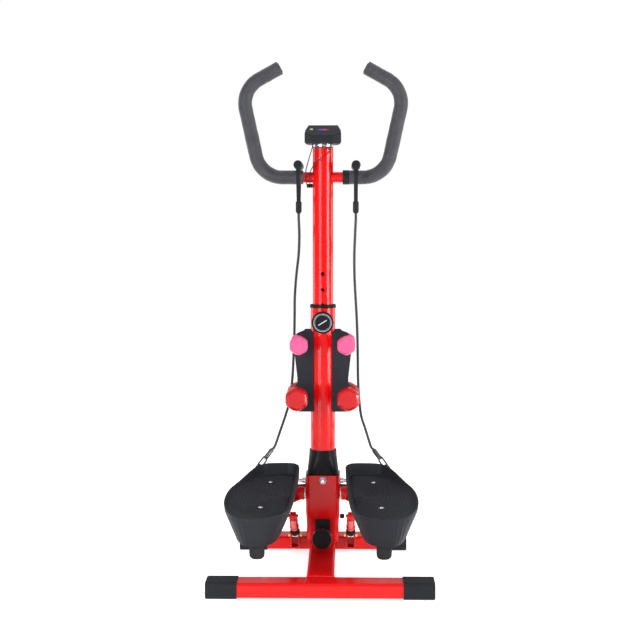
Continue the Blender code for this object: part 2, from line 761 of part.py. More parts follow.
def console_screen():
    middle_y = (CONSOLE_FRONT + CONSOLE_BACK) / 2
    centre, normal = face_frame(0.0, middle_y + 0.002)
    return solid("console_screen", screen_block("", centre, normal, 0.0, 0.0002), MATERIALS["screen"], smooth=False)


def mode_button():
    middle_y = (CONSOLE_FRONT + CONSOLE_BACK) / 2
    spot, normal = face_frame(BUTTON_X, middle_y + 0.004)
    depth = 0.006 - BUTTON_TRAVEL - GAP
    profile = [(BUTTON_RADIUS, -depth), (BUTTON_RADIUS, 0.0010), (BUTTON_RADIUS - 0.0007, 0.0016)]
    return solid("mode_button", turned(profile, spot, normal, SMALL_ROUND), MATERIALS["button"], pivot=spot)


# ---------------------------------------------------------------- column hardware
def front_bolt():
    """A domed bolt through the column's front wall into the mast."""
    face = COLUMN_FRONT - GAP
    tip = MAST_FRONT + LOWER_MAST_WALL + 0.004
    profile = [
        (0.003, -0.0055),
        (0.0072, -0.0046),
        (BOLT_HEAD_RADIUS, -0.0016),
        (BOLT_HEAD_RADIUS, 0.0),
        (FRONT_BOLT_RADIUS, 0.0),
        (FRONT_BOLT_RADIUS, tip - face),
    ]
    return solid("front_bolt", turned(profile, (0, face, FRONT_BOLT_Z), (0, 1, 0), SMALL_ROUND), MATERIALS["bright_steel"])


def cross_bolt():
    """One bolt across the column and the mast, with a nut and a washer showing on each side."""
    side = COLUMN_HEAD_HALF + GAP
    profile = []
    for sign, order in ((-1, 1), (1, -1)):
        part = [
            (CROSS_BOLT_RADIUS - 0.001, sign * (side + 0.016)),
            (CROSS_BOLT_RADIUS, sign * (side + 0.015)),
            (CROSS_BOLT_RADIUS, sign * (side + 0.0085)),
            (0.0065, sign * (side + 0.0085)),
            (0.0065, sign * (side + 0.0018)),
            (0.0085, sign * (side + 0.0018)),
            (0.0085, sign * side),
            (CROSS_BOLT_RADIUS, sign * side),
        ]
        profile += part[::order]
    bm = turned(profile, (0, MAST_Y, CROSS_BOLT_Z), (1, 0, 0), SMALL_ROUND)
    return solid("cross_bolt", bm, MATERIALS["bright_steel"])


def pivot_axle():
    """The pedals' shared axle, with a washer collar against the column and a domed nut at each end."""
    wall = COLUMN_HEAD_HALF + GAP
    collar = wall + COLUMN_WASHER
    end = PIVOT_TUBE_END + GAP
    profile = []
    for sign, order in ((-1, 1), (1, -1)):
        part = [
            (0.004, sign * (end + 0.014)),
            (0.009, sign * (end + 0.011)),
            (0.0105, sign * (end + 0.003)),
            (0.0140, sign * (end + 0.003)),
            (0.0140, sign * end),
            (AXLE_RADIUS, sign * end),
            (AXLE_RADIUS, sign * collar),
            (0.0140, sign * collar),
            (0.0140, sign * wall),
            (AXLE_RADIUS, sign * wall),
        ]
        profile += part[::order]
    bm = turned(profile, (0, PIVOT_Y, PIVOT_Z), (1, 0, 0), 20)
    return solid("pivot_axle", bm, MATERIALS["bright_steel"])


def cadence_sensor():
    """The reed switch on the column's right side that counts the steps."""
    wall = COLUMN_HEAD_HALF - 0.0006 + GAP
    low = (wall, COLUMN_FRONT + 0.004, 0.0875)
    high = (wall + 0.011, COLUMN_FRONT + 0.020, 0.0965)
    return solid("cadence_sensor", block(low, high, 0.0015), MATERIALS["knob_plastic"])


def tension_plate():
    """The moulded guide on the column's front that the tension screw runs through."""
    low_z = TENSION_Z - TENSION_PLATE_HEIGHT / 2
    back = COLUMN_FRONT - GAP
    low = (-TENSION_PLATE_WIDTH / 2, back - TENSION_PLATE_THICKNESS, low_z)
    high = (TENSION_PLATE_WIDTH / 2, back, low_z + TENSION_PLATE_HEIGHT)
    obj = solid("tension_plate", block(low, high, 0.001), MATERIALS["knob_plastic"])
    drill = rod((0, back - 0.02, TENSION_Z), (0, back + 0.02, TENSION_Z), TENSION_ROD_RADIUS + RUN)
    combine(obj, helper("guide_bore", drill), "DIFFERENCE")
    return obj


def tension_knob():
    """The lobed knob with its screw, which runs back into the column."""
    front = TENSION_KNOB_FRONT
    steps = 40
    rings = []
    shape = (
        (0.62, 0.000, 0.0),
        (0.86, 0.0008, 0.3),
        (1.00, 0.0040, 1.0),
        (1.00, TENSION_KNOB_DEPTH - 0.004, 1.0),
        (0.80, TENSION_KNOB_DEPTH - 0.0005, 0.3),
    )
    for scale, depth, lobes in shape:
        ring = []
        for i in range(steps):
            angle = math.tau * i / steps
            wave = 1.0 - 0.06 * lobes * (0.5 + 0.5 * math.cos(8 * angle))
            radius = TENSION_KNOB_RADIUS * scale * wave
            ring.append(Vector((radius * math.cos(angle), front + depth, TENSION_Z + radius * math.sin(angle))))
        rings.append(ring)
    back = front + TENSION_KNOB_DEPTH
    end = COLUMN_FRONT + COLUMN_WALL + 0.030
    for radius, y in ((0.009, back), (TENSION_ROD_RADIUS, back), (TENSION_ROD_RADIUS, end)):
        ring = []
        for i in range(steps):
            angle = math.tau * i / steps
            ring.append(Vector((radius * math.cos(angle), y, TENSION_Z + radius * math.sin(angle))))
        rings.append(ring)
    return solid("tension_knob", skin(rings), MATERIALS["knob_plastic"], pivot=(0, front, TENSION_Z))


# ---------------------------------------------------------------- rocker behind the column
def rocker():
    """The bar that lifts one pedal as the other goes down. Its stub turns in the column's back wall."""
    low = ROCKER_Y - ROCKER_THICKNESS / 2
    high = ROCKER_Y + ROCKER_THICKNESS / 2
    waist = LUG_X - LUG_THICKNESS / 2 - 0.010
    outline = [
        (-ROCKER_HALF, PIVOT_Z - ROCKER_TIP_HEIGHT / 2),
        (-waist, PIVOT_Z - ROCKER_TIP_HEIGHT / 2),
        (-0.014, PIVOT_Z - ROCKER_HEIGHT / 2),
        (0.014, PIVOT_Z - ROCKER_HEIGHT / 2),
        (waist, PIVOT_Z - ROCKER_TIP_HEIGHT / 2),
        (ROCKER_HALF, PIVOT_Z - ROCKER_TIP_HEIGHT / 2),
        (ROCKER_HALF, PIVOT_Z + ROCKER_TIP_HEIGHT / 2),
        (waist, PIVOT_Z + ROCKER_TIP_HEIGHT / 2),
        (0.014, PIVOT_Z + ROCKER_HEIGHT / 2),
        (-0.014, PIVOT_Z + ROCKER_HEIGHT / 2),
        (-waist, PIVOT_Z + ROCKER_TIP_HEIGHT / 2),
        (-ROCKER_HALF, PIVOT_Z + ROCKER_TIP_HEIGHT / 2),
    ]
    bar = prism(outline, low, high)
    obj = solid("rocker", bar, MATERIALS["dark_steel"], pivot=(0, ROCKER_Y, PIVOT_Z))
    stub_start = (0, COLUMN_BACK - COLUMN_WALL - 0.004, PIVOT_Z)
    stub = rod(stub_start, (0, high + 0.004, PIVOT_Z), ROCKER_PIN_RADIUS)
    combine(obj, helper("rocker_stub", stub), "UNION")
    return obj


# ---------------------------------------------------------------- dumbbell rack
def rack_plate(side_name):
    """One rack plate: a seat for each dumbbell grip, open outward and upward, and a flange down the mast."""
    side = SIDES[side_name]
    front = RACK_Y - RACK_THICKNESS / 2
    back = RACK_Y + RACK_THICKNESS / 2
    outline = [
        (RACK_INNER, RACK_BOTTOM),
        (0.0570, RACK_BOTTOM),
        (0.0640, RACK_BOTTOM + 0.012),
        (0.0700, 0.3660),
        (0.0780, 0.3860),
        (0.0740, 0.3930),
        (0.0600, 0.4080),
        (0.0600, 0.4200),
        (0.0657, 0.4720),
        (0.0680, 0.4860),
        (0.0740, 0.5060),
        (0.0700, 0.5150),
        (0.0560, 0.5280),
        (0.0450, RACK_TOP - 0.004),
        (0.0410, RACK_TOP),
        (0.0290, RACK_TOP),
        (0.0250, RACK_TOP - 0.004),
        (RACK_INNER, RACK_TOP - 0.012),
    ]
    plate = prism([(side * x, z) for x, z in outline], front, back)
    obj = solid(f"rack_plate_{side_name}", plate, MATERIALS["rack_plastic"], smooth=False)
    flange_low = (side * RACK_INNER, front + 0.0005, RACK_BOTTOM + 0.020)
    flange_high = (side * (RACK_INNER + 0.012), back + RACK_FLANGE, RACK_TOP - 0.030)
    low = [min(a, b) for a, b in zip(flange_low, flange_high)]
    high = [max(a, b) for a, b in zip(flange_low, flange_high)]
    combine(obj, helper(f"rack_flange_{side_name}", block(low, high)), "UNION")
    lift = Vector((side * math.cos(LIFT_ANGLE), 0, math.sin(LIFT_ANGLE)))
    for name, x, z, grip in (("pink", PINK_X, PINK_Z, PINK_GRIP), ("red", RED_X, RED_Z, RED_GRIP)):
        combine(obj, helper(f"{name}_seat_{side_name}", seat(side * x, z, grip, lift)), "DIFFERENCE")
    mast = rod((0, MAST_Y, RACK_BOTTOM - 0.05), (0, MAST_Y, RACK_TOP + 0.05), LOWER_MAST_RADIUS + GAP, ROUND)
    combine(obj, helper(f"mast_relief_{side_name}", mast), "DIFFERENCE")
    return obj


def seat(x, z, grip, lift):
    """A slot with a round bottom about the grip, open along lift."""
    radius = grip + SEAT_CLEARANCE
    across = Vector((-lift.z, 0, lift.x))
    start = Vector((x, 0, z))
    outline = []
    for i in range(13):
        angle = math.pi * i / 12
        outline.append(start + across * (radius * math.cos(angle)) - lift * (radius * math.sin(angle)))
    far = lift * 0.08
    outline.append(start - across * radius + far)
    outline.append(start + across * radius + far)
    rings = []
    for y in (RACK_Y - 0.03, RACK_Y + 0.03):
        rings.append([Vector((point.x, y, point.z)) for point in outline])
    return skin(rings)


def dumbbell(name, x, z, length, head, head_length, grip, mat):
    """A dipped dumbbell with rounded six-sided heads, along Y, resting in its seat."""
    half = length / 2
    steps = 24
    edge = 0.10
    rings = []
    profile = [(-half, 0.74, 1.0), (-half + 0.003, 0.92, 1.0), (-half + 0.008, 1.0, 1.0)]
    profile += [(-half + head_length - 0.008, 1.0, 1.0), (-half + head_length - 0.002, 0.86, 0.8)]
    profile += [(-half + head_length + 0.003, grip / head, 0.0)]
    profile += [(-station, scale, flats) for station, scale, flats in reversed(profile)]
    for station, scale, flats in profile:
        ring = []
        for i in range(steps):
            angle = math.tau * i / steps
            turn = (angle + math.pi / 6) % (math.pi / 3) - math.pi / 6
            hexagon = 1.0 / math.cos(turn) * math.cos(math.pi / 6) * (1 + edge)
            radius = head * scale * ((1 - flats) + flats * min(1.02, hexagon))
            ring.append(Vector((x + radius * math.cos(angle), RACK_Y + station, z + radius * math.sin(angle))))
        rings.append(ring)
    return solid(name, skin(rings), mat, pivot=(x, RACK_Y, z))


# ---------------------------------------------------------------- pedals
def tread_height(y):
    return TREAD_HEEL_Z + TREAD_SLOPE * (y - HEEL_Y)


def skirt_height(y):
    return SKIRT_HEEL_Z + (SKIRT_TOE_Z - SKIRT_HEEL_Z) * smoothstep(HEEL_Y, 0.12, y)


def arm_x(y):
    """Centre line of a pedal arm, which passes under both pedal screws."""
    slope = (SCREW_TOE_X - SCREW_HEEL_X) / (SCREW_TOE_Y - SCREW_HEEL_Y)
    return SCREW_TOE_X + slope * (y - SCREW_TOE_Y)


def arm_z(y):
    return ARM_HEEL_Z + ARM_SLOPE * (y - ARM_HEEL_Y)


PEDAL_OUTLINE = (
    (0.0540, 0.0600),
    (0.0545, 0.1020),
    (0.0680, 0.1190),
    (0.1020, 0.1210),
    (0.1340, 0.1160),
    (0.1530, 0.0970),
    (0.1760, 0.0620),
    (0.1960, 0.0250),
    (0.2080, -0.0140),
    (0.2130, -0.0600),
    (0.2115, -0.1060),
    (0.2020, -0.1500),
    (0.1830, -0.1840),
    (0.1540, -0.2000),
    (0.1180, -0.1950),
    (0.0870, -0.1760),
    (0.0690, -0.1430),
    (0.0620, -0.1000),
    (0.0575, -0.0300),
)


def pedal_outline():
    """Evenly spaced points and outward normals round the right pedal's rim."""
    loop = [Vector((x, y, 0.0)) for x, y in PEDAL_OUTLINE]
    count = len(loop)
    fine = []
    for i in range(count):
        a, b, c, d = (loop[(i + k) % count] for k in (-1, 0, 1, 2))
        for j in range(24):
            t = j / 24
            fine.append(
                0.5 * (2 * b + (c - a) * t + (2 * a - 5 * b + 4 * c - d) * t * t + (3 * b - a - 3 * c + d) * t**3)
            )
    lengths = [(fine[(i + 1) % len(fine)] - fine[i]).length for i in range(len(fine))]
    total = sum(lengths)
    points = []
    walked = 0.0
    for i, step in enumerate(lengths):
        while len(points) < PEDAL_STEPS and walked + step > len(points) * total / PEDAL_STEPS:
            share = (len(points) * total / PEDAL_STEPS - walked) / step
            points.append(fine[i].lerp(fine[(i + 1) % len(fine)], share))
        walked += step
    normals = []
    for i in range(PEDAL_STEPS):
        along = points[(i + 1) % PEDAL_STEPS] - points[i - 1]
        normals.append(Vector((-along.y, along.x, 0.0)).normalized())
    return points, normals


def rim_height(x, y):
    """The rim stands high round the toe and down the inner side, and low round the heel."""
    toe = smoothstep(0.020, 0.105, y)
    inner = smoothstep(-0.150, 0.060, y) * smoothstep(0.105, 0.075, x)
    return RIM_LOW + (RIM_HIGH - RIM_LOW) * max(toe, inner)


def pedal(side_name):
    side = SIDES[side_name]
    points, normals = pedal_outline()

    def ring(inset, height):
        result = []
        for point, normal in zip(points, normals):
            place = point - normal * inset
            result.append(Vector((side * place.x, place.y, height(point.x, place.y))))
        return result

    def foot_ring(wall):
        result = []
        for point, normal in zip(points, normals):
            share = smoothstep(0.060, -0.120, point.y)
            across = SKIRT_DRAFT + (SKIRT_HEEL_DRAFT - SKIRT_DRAFT) * share + wall
            place = Vector((point.x - normal.x * across, point.y - normal.y * (SKIRT_DRAFT + wall), 0))
            result.append(Vector((side * place.x, place.y, skirt_height(place.y))))
        return result

    under = TREAD_THICKNESS
    rings = [
        ring(PEDAL_WALL + 0.002, lambda x, y: tread_height(y) - under),
        foot_ring(PEDAL_WALL),
        foot_ring(0.0),
        ring(0.0012, lambda x, y: tread_height(y) - 0.004),
        ring(0.0, lambda x, y: tread_height(y) + rim_height(x, y) - 0.0015),
        ring(0.0015, lambda x, y: tread_height(y) + rim_height(x, y)),
        ring(RIM_WIDTH - 0.001, lambda x, y: tread_height(y) + rim_height(x, y) - 0.0003),
        ring(RIM_WIDTH + 0.002, lambda x, y: tread_height(y) + 0.002),
        ring(RIM_WIDTH + 0.004, lambda x, y: tread_height(y)),
    ]
    obj = solid(f"pedal_{side_name}", skin(rings), MATERIALS["pedal_plastic"], pivot=(0, PIVOT_Y, PIVOT_Z))
    for name, x, y in (("toe", SCREW_TOE_X, SCREW_TOE_Y), ("heel", SCREW_HEEL_X, SCREW_HEEL_Y)):
        top = tread_height(y)
        arm_top = arm_z(y) + ARM_HEIGHT / 2 + 0.0010
        boss = rod((side * x, y, arm_top), (side * x, y, top - 0.001), BOSS_RADIUS)
        combine(obj, helper(f"{name}_boss_{side_name}", boss), "UNION")
        hole = rod((side * x, y, arm_top - 0.02), (side * x, y, top + 0.03), SCREW_RADIUS + RUN, 12)
        combine(obj, helper(f"{name}_hole_{side_name}", hole), "DIFFERENCE")
    eye = eyelet(side)
    combine(obj, helper(f"rope_eye_{side_name}", eye), "UNION")
    return obj


HOOK_DIRECTION = {side: Vector((side * 0.52, -0.58, -0.63)).normalized() for side in (-1, 1)}


def eye_frame(side):
    """Centre of the rope eye, the way out from the rim there, and the axis of its hole, which is square to the hook."""
    outward = Vector((side * 0.69, 0.72, 0)).normalized()
    corner = Vector((side * 0.1450, 0.1080, tread_height(0.108) + 0.016))
    return corner + outward * EYE_OFFSET, outward, HOOK_DIRECTION[side].cross(outward).normalized()


def eyelet(side):
    """The moulded lug outside the toe corner, with the hole that the rope's hook goes through."""
    centre, outward, axis = eye_frame(side)
    outer = ring_outline(centre, outward, axis, EYE_RADIUS)
    inner = ring_outline(centre, outward, axis, EYE_HOLE_RADIUS)
    half = axis * (EYE_THICKNESS / 2)
    rings = [
        [p + half for p in outer],
        [p - half for p in outer],
        [p - half for p in inner],
        [p + half for p in inner],
    ]
    return skin(rings, closed=True)


def ring_outline(centre, across, axis, radius):
    up = axis.cross(across)
    points = []
    for i in range(SMALL_ROUND):
        angle = math.tau * (i + 0.5) / SMALL_ROUND
        points.append(centre + across * (radius * math.cos(angle)) + up * (radius * math.sin(angle)))
    return points


def pedal_screw(side_name, place):
    side = SIDES[side_name]
    x, y = {"toe": (SCREW_TOE_X, SCREW_TOE_Y), "heel": (SCREW_HEEL_X, SCREW_HEEL_Y)}[place]
    top = tread_height(y) + GAP + 0.0007
    foot = arm_z(y) + ARM_HEIGHT / 2 - ARM_WALL - 0.006
    profile = [
        (SCREW_RADIUS, foot),
        (SCREW_RADIUS, top),
        (SCREW_HEAD_RADIUS, top),
        (SCREW_HEAD_RADIUS, top + 0.0012),
        (SCREW_HEAD_RADIUS * 0.55, top + 0.0028),
    ]
    bm = turned(profile, (side * x, y, 0), steps=SMALL_ROUND)
    return solid(f"pedal_screw_{side_name}_{place}", bm, MATERIALS["bright_steel"], pivot=(0, PIVOT_Y, PIVOT_Z))


def pedal_arm(side_name):
    """The welded swing arm: pivot tube, box tube, gusset, damper pin and the lug that the rocker lifts."""
    side = SIDES[side_name]
    start = (side * arm_x(ARM_TOE_Y), ARM_TOE_Y, ARM_TOE_Z)
    end = (side * arm_x(ARM_HEEL_Y), ARM_HEEL_Y, ARM_HEEL_Z)
    bm = box_tube(start, end, ARM_WIDTH / 2, ARM_HEIGHT / 2, 0.004, ARM_WALL)
    obj = solid(f"pedal_arm_{side_name}", bm, MATERIALS["red_paint"], pivot=(0, PIVOT_Y, PIVOT_Z))
    tube_start = (side * PIVOT_TUBE_START, PIVOT_Y, PIVOT_Z)
    tube_end = (side * PIVOT_TUBE_END, PIVOT_Y, PIVOT_Z)
    combine(obj, helper(f"pivot_tube_{side_name}", rod(tube_start, tube_end, PIVOT_TUBE_RADIUS, 24)), "UNION")
    inner = side * (PIVOT_TUBE_START + 0.006)
    outer = side * (arm_x(0.05) - 0.010)
    gusset = [(inner, PIVOT_Y - 0.002), (outer, PIVOT_Y - 0.002), (outer, 0.045), (side * 0.088, 0.060)]
    plate = prism(gusset, PIVOT_Z - 0.014, PIVOT_Z - 0.010, across="z")
    combine(obj, helper(f"gusset_{side_name}", plate), "UNION")
    lug_half = ROCKER_TIP_HEIGHT / 2 + LUG_WINDOW_Z
    lug = [
        (PIVOT_Y, PIVOT_Z - 0.010),
        (ROCKER_Y + ROCKER_THICKNESS / 2 + LUG_WINDOW_Y + LUG_RIM, PIVOT_Z - lug_half - LUG_RIM),
        (ROCKER_Y + ROCKER_THICKNESS / 2 + LUG_WINDOW_Y + LUG_RIM, PIVOT_Z + lug_half + LUG_RIM),
        (PIVOT_Y, PIVOT_Z + 0.010),
    ]
    lug_low = side * (LUG_X - LUG_THICKNESS / 2)
    lug_high = side * (LUG_X + LUG_THICKNESS / 2)
    combine(obj, helper(f"lug_{side_name}", prism(lug, lug_low, lug_high, across="x")), "UNION")
    reach_y = ROCKER_THICKNESS / 2 + LUG_WINDOW_Y
    window = block(
        (min(lug_low, lug_high) - 0.01, ROCKER_Y - reach_y, PIVOT_Z - lug_half),
        (max(lug_low, lug_high) + 0.01, ROCKER_Y + reach_y, PIVOT_Z + lug_half),
    )
    combine(obj, helper(f"lug_window_{side_name}", window), "DIFFERENCE")
    wall_x = arm_x(DAMPER_HIGH_Y) - ARM_WIDTH / 2
    hanger = [
        (DAMPER_HIGH_Y - 0.016, DAMPER_HIGH_Z + 0.016),
        (DAMPER_HIGH_Y - 0.007, DAMPER_HIGH_Z - 0.008),
        (DAMPER_HIGH_Y + 0.007, DAMPER_HIGH_Z - 0.008),
        (DAMPER_HIGH_Y + 0.016, DAMPER_HIGH_Z + 0.016),
    ]
    plate = prism(hanger, side * (wall_x - 0.003), side * (wall_x + 0.0015), across="x")
    combine(obj, helper(f"hanger_{side_name}", plate), "UNION")
    pin_start = (side * wall_x, DAMPER_HIGH_Y, DAMPER_HIGH_Z)
    pin_end = (side * (DAMPER_X - DAMPER_EYE_WIDTH / 2 - 0.005), DAMPER_HIGH_Y, DAMPER_HIGH_Z)
    combine(obj, helper(f"damper_pin_{side_name}", rod(pin_start, pin_end, DAMPER_PIN_RADIUS)), "UNION")
    hole = rod(
        (side * (PIVOT_TUBE_START - 0.01), PIVOT_Y, PIVOT_Z),
        (side * (PIVOT_TUBE_END + 0.05), PIVOT_Y, PIVOT_Z),
        AXLE_RADIUS + RUN,
        24,
    )
    combine(obj, helper(f"pivot_bore_{side_name}", hole), "DIFFERENCE")
    for place, x, y in (("toe", SCREW_TOE_X, SCREW_TOE_Y), ("heel", SCREW_HEEL_X, SCREW_HEEL_Y)):
        top = arm_z(y) + ARM_HEIGHT / 2
        drill = rod((side * x, y, top - 0.012), (side * x, y, top + 0.012), SCREW_RADIUS + RUN, 12)
        combine(obj, helper(f"arm_hole_{place}_{side_name}", drill), "DIFFERENCE")
    return obj


def bumper(side_name):
    """The rubber stop under the heel end of an arm, which lands on the near crossbar."""
    side = SIDES[side_name]
    centre = Vector((side * arm_x(BUMPER_Y), BUMPER_Y, 0))
    foot = arm_z(BUMPER_Y) - ARM_HEIGHT / 2 - BUMPER_LENGTH
    shape = ((0.72, foot), (0.95, foot + 0.004), (1.0, foot + 0.011), (1.0, None))
    rings = []
    for scale, z in shape:
        ring = []
        for i in range(ROUND):
            angle = math.tau * i / ROUND
            spot = centre + Vector((math.cos(angle), math.sin(angle), 0)) * (BUMPER_RADIUS * scale)
            arm_under = arm_z(spot.y) - ARM_HEIGHT / 2 * math.sqrt(1 + ARM_SLOPE**2) - 2 * GAP
            spot.z = arm_under if z is None else z
            ring.append(spot)
        rings.append(ring)
    return solid(f"bumper_{side_name}", skin(rings), MATERIALS["rubber"], pivot=(0, PIVOT_Y, PIVOT_Z))


# ---------------------------------------------------------------- dampers
def damper_axis():
    span = Vector((0, DAMPER_HIGH_Y - DAMPER_LOW_Y, DAMPER_HIGH_Z - DAMPER_LOW_Z))
    return span.normalized(), span.length


def damper_bracket(side_name):
    """A U-shaped bracket on the far crossbar's front that holds the damper's lower eye."""
    x = SIDES[side_name] * DAMPER_X
    inner = DAMPER_EYE_WIDTH / 2 + 0.0010
    outer = inner + EAR_THICKNESS
    back = FAR_Y - BAR_DEPTH / 2 - GAP
    front = DAMPER_LOW_Y - 0.009
    low_z = 0.010
    high_z = DAMPER_LOW_Z + 0.009
    bm = block((x - outer, front, low_z), (x + outer, back, high_z), 0.0012, 1)
    obj = solid(f"damper_bracket_{side_name}", bm, MATERIALS["red_paint"], smooth=False)
    web = back - 0.003
    gap_cut = block((x - inner, front - 0.01, low_z + 0.003), (x + inner, web, high_z + 0.01))
    combine(obj, helper(f"bracket_gap_{side_name}", gap_cut), "DIFFERENCE")
    slope_cut = prism(
        [(front - 0.01, low_z - 0.01), (front + 0.016, low_z - 0.01), (front - 0.01, DAMPER_LOW_Z - 0.004)],
        x - outer - 0.01,
        x + outer + 0.01,
        across="x",
    )
    combine(obj, helper(f"bracket_slope_{side_name}", slope_cut), "DIFFERENCE")
    bore = rod(
        (x - outer - 0.01, DAMPER_LOW_Y, DAMPER_LOW_Z),
        (x + outer + 0.01, DAMPER_LOW_Y, DAMPER_LOW_Z),
        DAMPER_PIN_RADIUS + RUN,
    )
    combine(obj, helper(f"bracket_bore_{side_name}", bore), "DIFFERENCE")
    return obj


def damper_bolt(side_name):
    """The bolt through the bracket and the damper's lower eye, with its head and nut."""
    x = SIDES[side_name] * DAMPER_X
    outer = DAMPER_EYE_WIDTH / 2 + 0.0010 + EAR_THICKNESS + GAP
    profile = [
        (0.0060, -outer - 0.0045),
        (0.0060, -outer),
        (DAMPER_PIN_RADIUS, -outer),
        (DAMPER_PIN_RADIUS, outer),
        (0.0060, outer),
        (0.0060, outer + 0.0045),
    ]
    bm = turned(profile, (x, DAMPER_LOW_Y, DAMPER_LOW_Z), (1, 0, 0), SMALL_ROUND)
    return solid(f"damper_bolt_{side_name}", bm, MATERIALS["gold_steel"])


def eye_solid(x, y, z, bore):
    start = (x - DAMPER_EYE_WIDTH / 2, y, z)
    end = (x + DAMPER_EYE_WIDTH / 2, y, z)
    return pipe(start, end, DAMPER_EYE_RADIUS, bore, steps=SMALL_ROUND)


def damper_rod(side_name):
    """The chromed rod with the lower eye."""
    x = SIDES[side_name] * DAMPER_X
    axis, _ = damper_axis()
    foot = Vector((x, DAMPER_LOW_Y, DAMPER_LOW_Z))
    bore = DAMPER_PIN_RADIUS + RUN
    obj = solid(f"damper_rod_{side_name}", eye_solid(x, foot.y, foot.z, bore), MATERIALS["chrome"], pivot=foot)
    start = foot + axis * (DAMPER_EYE_RADIUS - 0.002)
    end = foot + axis * (DAMPER_BODY_START + 0.050)
    combine(obj, helper(f"rod_{side_name}", rod(start, end, DAMPER_ROD_RADIUS)), "UNION")
    return obj


def damper_cylinder(side_name):
    """The oil cylinder with its end block and the upper eye, which has play on the arm's pin."""
    x = SIDES[side_name] * DAMPER_X
    axis, length = damper_axis()
    foot = Vector((x, DAMPER_LOW_Y, DAMPER_LOW_Z))
    head = foot + axis * length
    obj = solid(
        f"damper_cylinder_{side_name}",
        eye_solid(x, head.y, head.z, DAMPER_HIGH_BORE),
        MATERIALS["red_paint"],
        pivot=foot,
    )
    end = length - DAMPER_EYE_RADIUS + 0.002
    bore = DAMPER_ROD_RADIUS + RUN
    hollow = DAMPER_BODY_START + 0.072
    profile = [
        (bore, hollow),
        (bore, DAMPER_BODY_START),
        (0.0086, DAMPER_BODY_START),
        (0.0110, DAMPER_BODY_START + 0.002),
        (0.0110, DAMPER_BODY_START + 0.013),
        (DAMPER_RADIUS, DAMPER_BODY_START + 0.014),
        (DAMPER_RADIUS, end - 0.006),
        (0.0060, end),
    ]
    combine(obj, helper(f"cylinder_{side_name}", turned(profile, foot, axis, SMALL_ROUND)), "UNION")
    return obj


# ---------------------------------------------------------------- rope handles, ropes and hooks
def rope_handle(side_name):
    """A stirrup handle laid over the handlebar: grip on top, strap down both sides, rope clamp below."""
    x = {"left": LEFT_HANDLE_X, "right": RIGHT_HANDLE_X}[side_name]
    half = GRIP_LENGTH / 2
    profile = [
        (GRIP_RADIUS - 0.003, 0.0),
        (GRIP_RADIUS, 0.002),
        (GRIP_RADIUS, GRIP_LENGTH - 0.002),
        (GRIP_RADIUS - 0.003, GRIP_LENGTH),
    ]
    bm = turned(profile, (x, MAST_Y - half, GRIP_Z), (0, 1, 0), 20)
    obj = solid(f"rope_handle_{side_name}", bm, MATERIALS["handle_plastic"])
    inset = 0.007
    corners = [
        (x, MAST_Y - half + inset, GRIP_Z),
        (x, MAST_Y - half + inset - 0.002, GRIP_Z - 0.022),
        (x, MAST_Y - 0.003, CLAMP_TOP - 0.004),
    ]
    for sign, label in ((1, "near"), (-1, "far")):
        route = [Vector((px, MAST_Y + sign * (py - MAST_Y), pz)) for px, py, pz in corners]
        rings = []
        for i, point in enumerate(route):
            along = (route[min(i + 1, 2)] - route[max(i - 1, 0)]).normalized()
            across = Vector((1, 0, 0))
            thick = along.cross(across).normalized()
            half_width = STRAP_WIDTH / 2
            half_thick = STRAP_THICKNESS / 2
            rings.append(
                [
                    point + across * (a * half_width) + thick * (b * half_thick)
                    for a, b in ((-1, -1), (1, -1), (1, 1), (-1, 1))
                ]
            )
        combine(obj, helper(f"strap_{label}_{side_name}", skin(rings)), "UNION")
    clamp = [
        (0.0045, CLAMP_TOP - CLAMP_LENGTH),
        (CLAMP_RADIUS, CLAMP_TOP - CLAMP_LENGTH + 0.004),
        (CLAMP_RADIUS, CLAMP_TOP),
        (0.0045, CLAMP_TOP + 0.003),
    ]
    body = turned(clamp, (x, MAST_Y, 0), steps=SMALL_ROUND)
    combine(obj, helper(f"clamp_{side_name}", body), "UNION")
    return obj


def hook_places(side):
    """Where the rope ends, where its sleeve ends and where the hook ends, from the pedal's eye outward."""
    along = HOOK_DIRECTION[side]
    ring_end, _, _ = eye_frame(side)
    hook_start = ring_end - along * HOOK_REACH
    sleeve_start = hook_start - along * ROPE_SLEEVE_LENGTH
    return sleeve_start, hook_start, ring_end


ROPE_ROUTES = {
    "left": [
        (-0.0570, 0.1700, 0.7900),
        (-0.0560, 0.1780, 0.7550),
        (-0.0580, 0.1900, 0.7100),
        (-0.0640, 0.2030, 0.6600),
        (-0.0680, 0.2130, 0.6100),
        (-0.0690, 0.2200, 0.5600),
        (-0.0700, 0.2235, 0.5100),
        (-0.0720, 0.2245, 0.4600),
        (-0.0740, 0.2245, 0.4200),
        (-0.0780, 0.2230, 0.3800),
        (-0.0840, 0.2170, 0.3450),
    ],
    "right": [
        (0.0770, 0.1700, 0.7900),
        (0.0755, 0.1780, 0.7550),
        (0.0740, 0.1900, 0.7100),
        (0.0745, 0.2030, 0.6600),
        (0.0770, 0.2130, 0.6100),
        (0.0800, 0.2200, 0.5600),
        (0.0820, 0.2235, 0.5100),
        (0.0830, 0.2245, 0.4600),
        (0.0835, 0.2245, 0.4200),
        (0.0850, 0.2230, 0.3800),
        (0.0880, 0.2170, 0.3450),
    ],
}


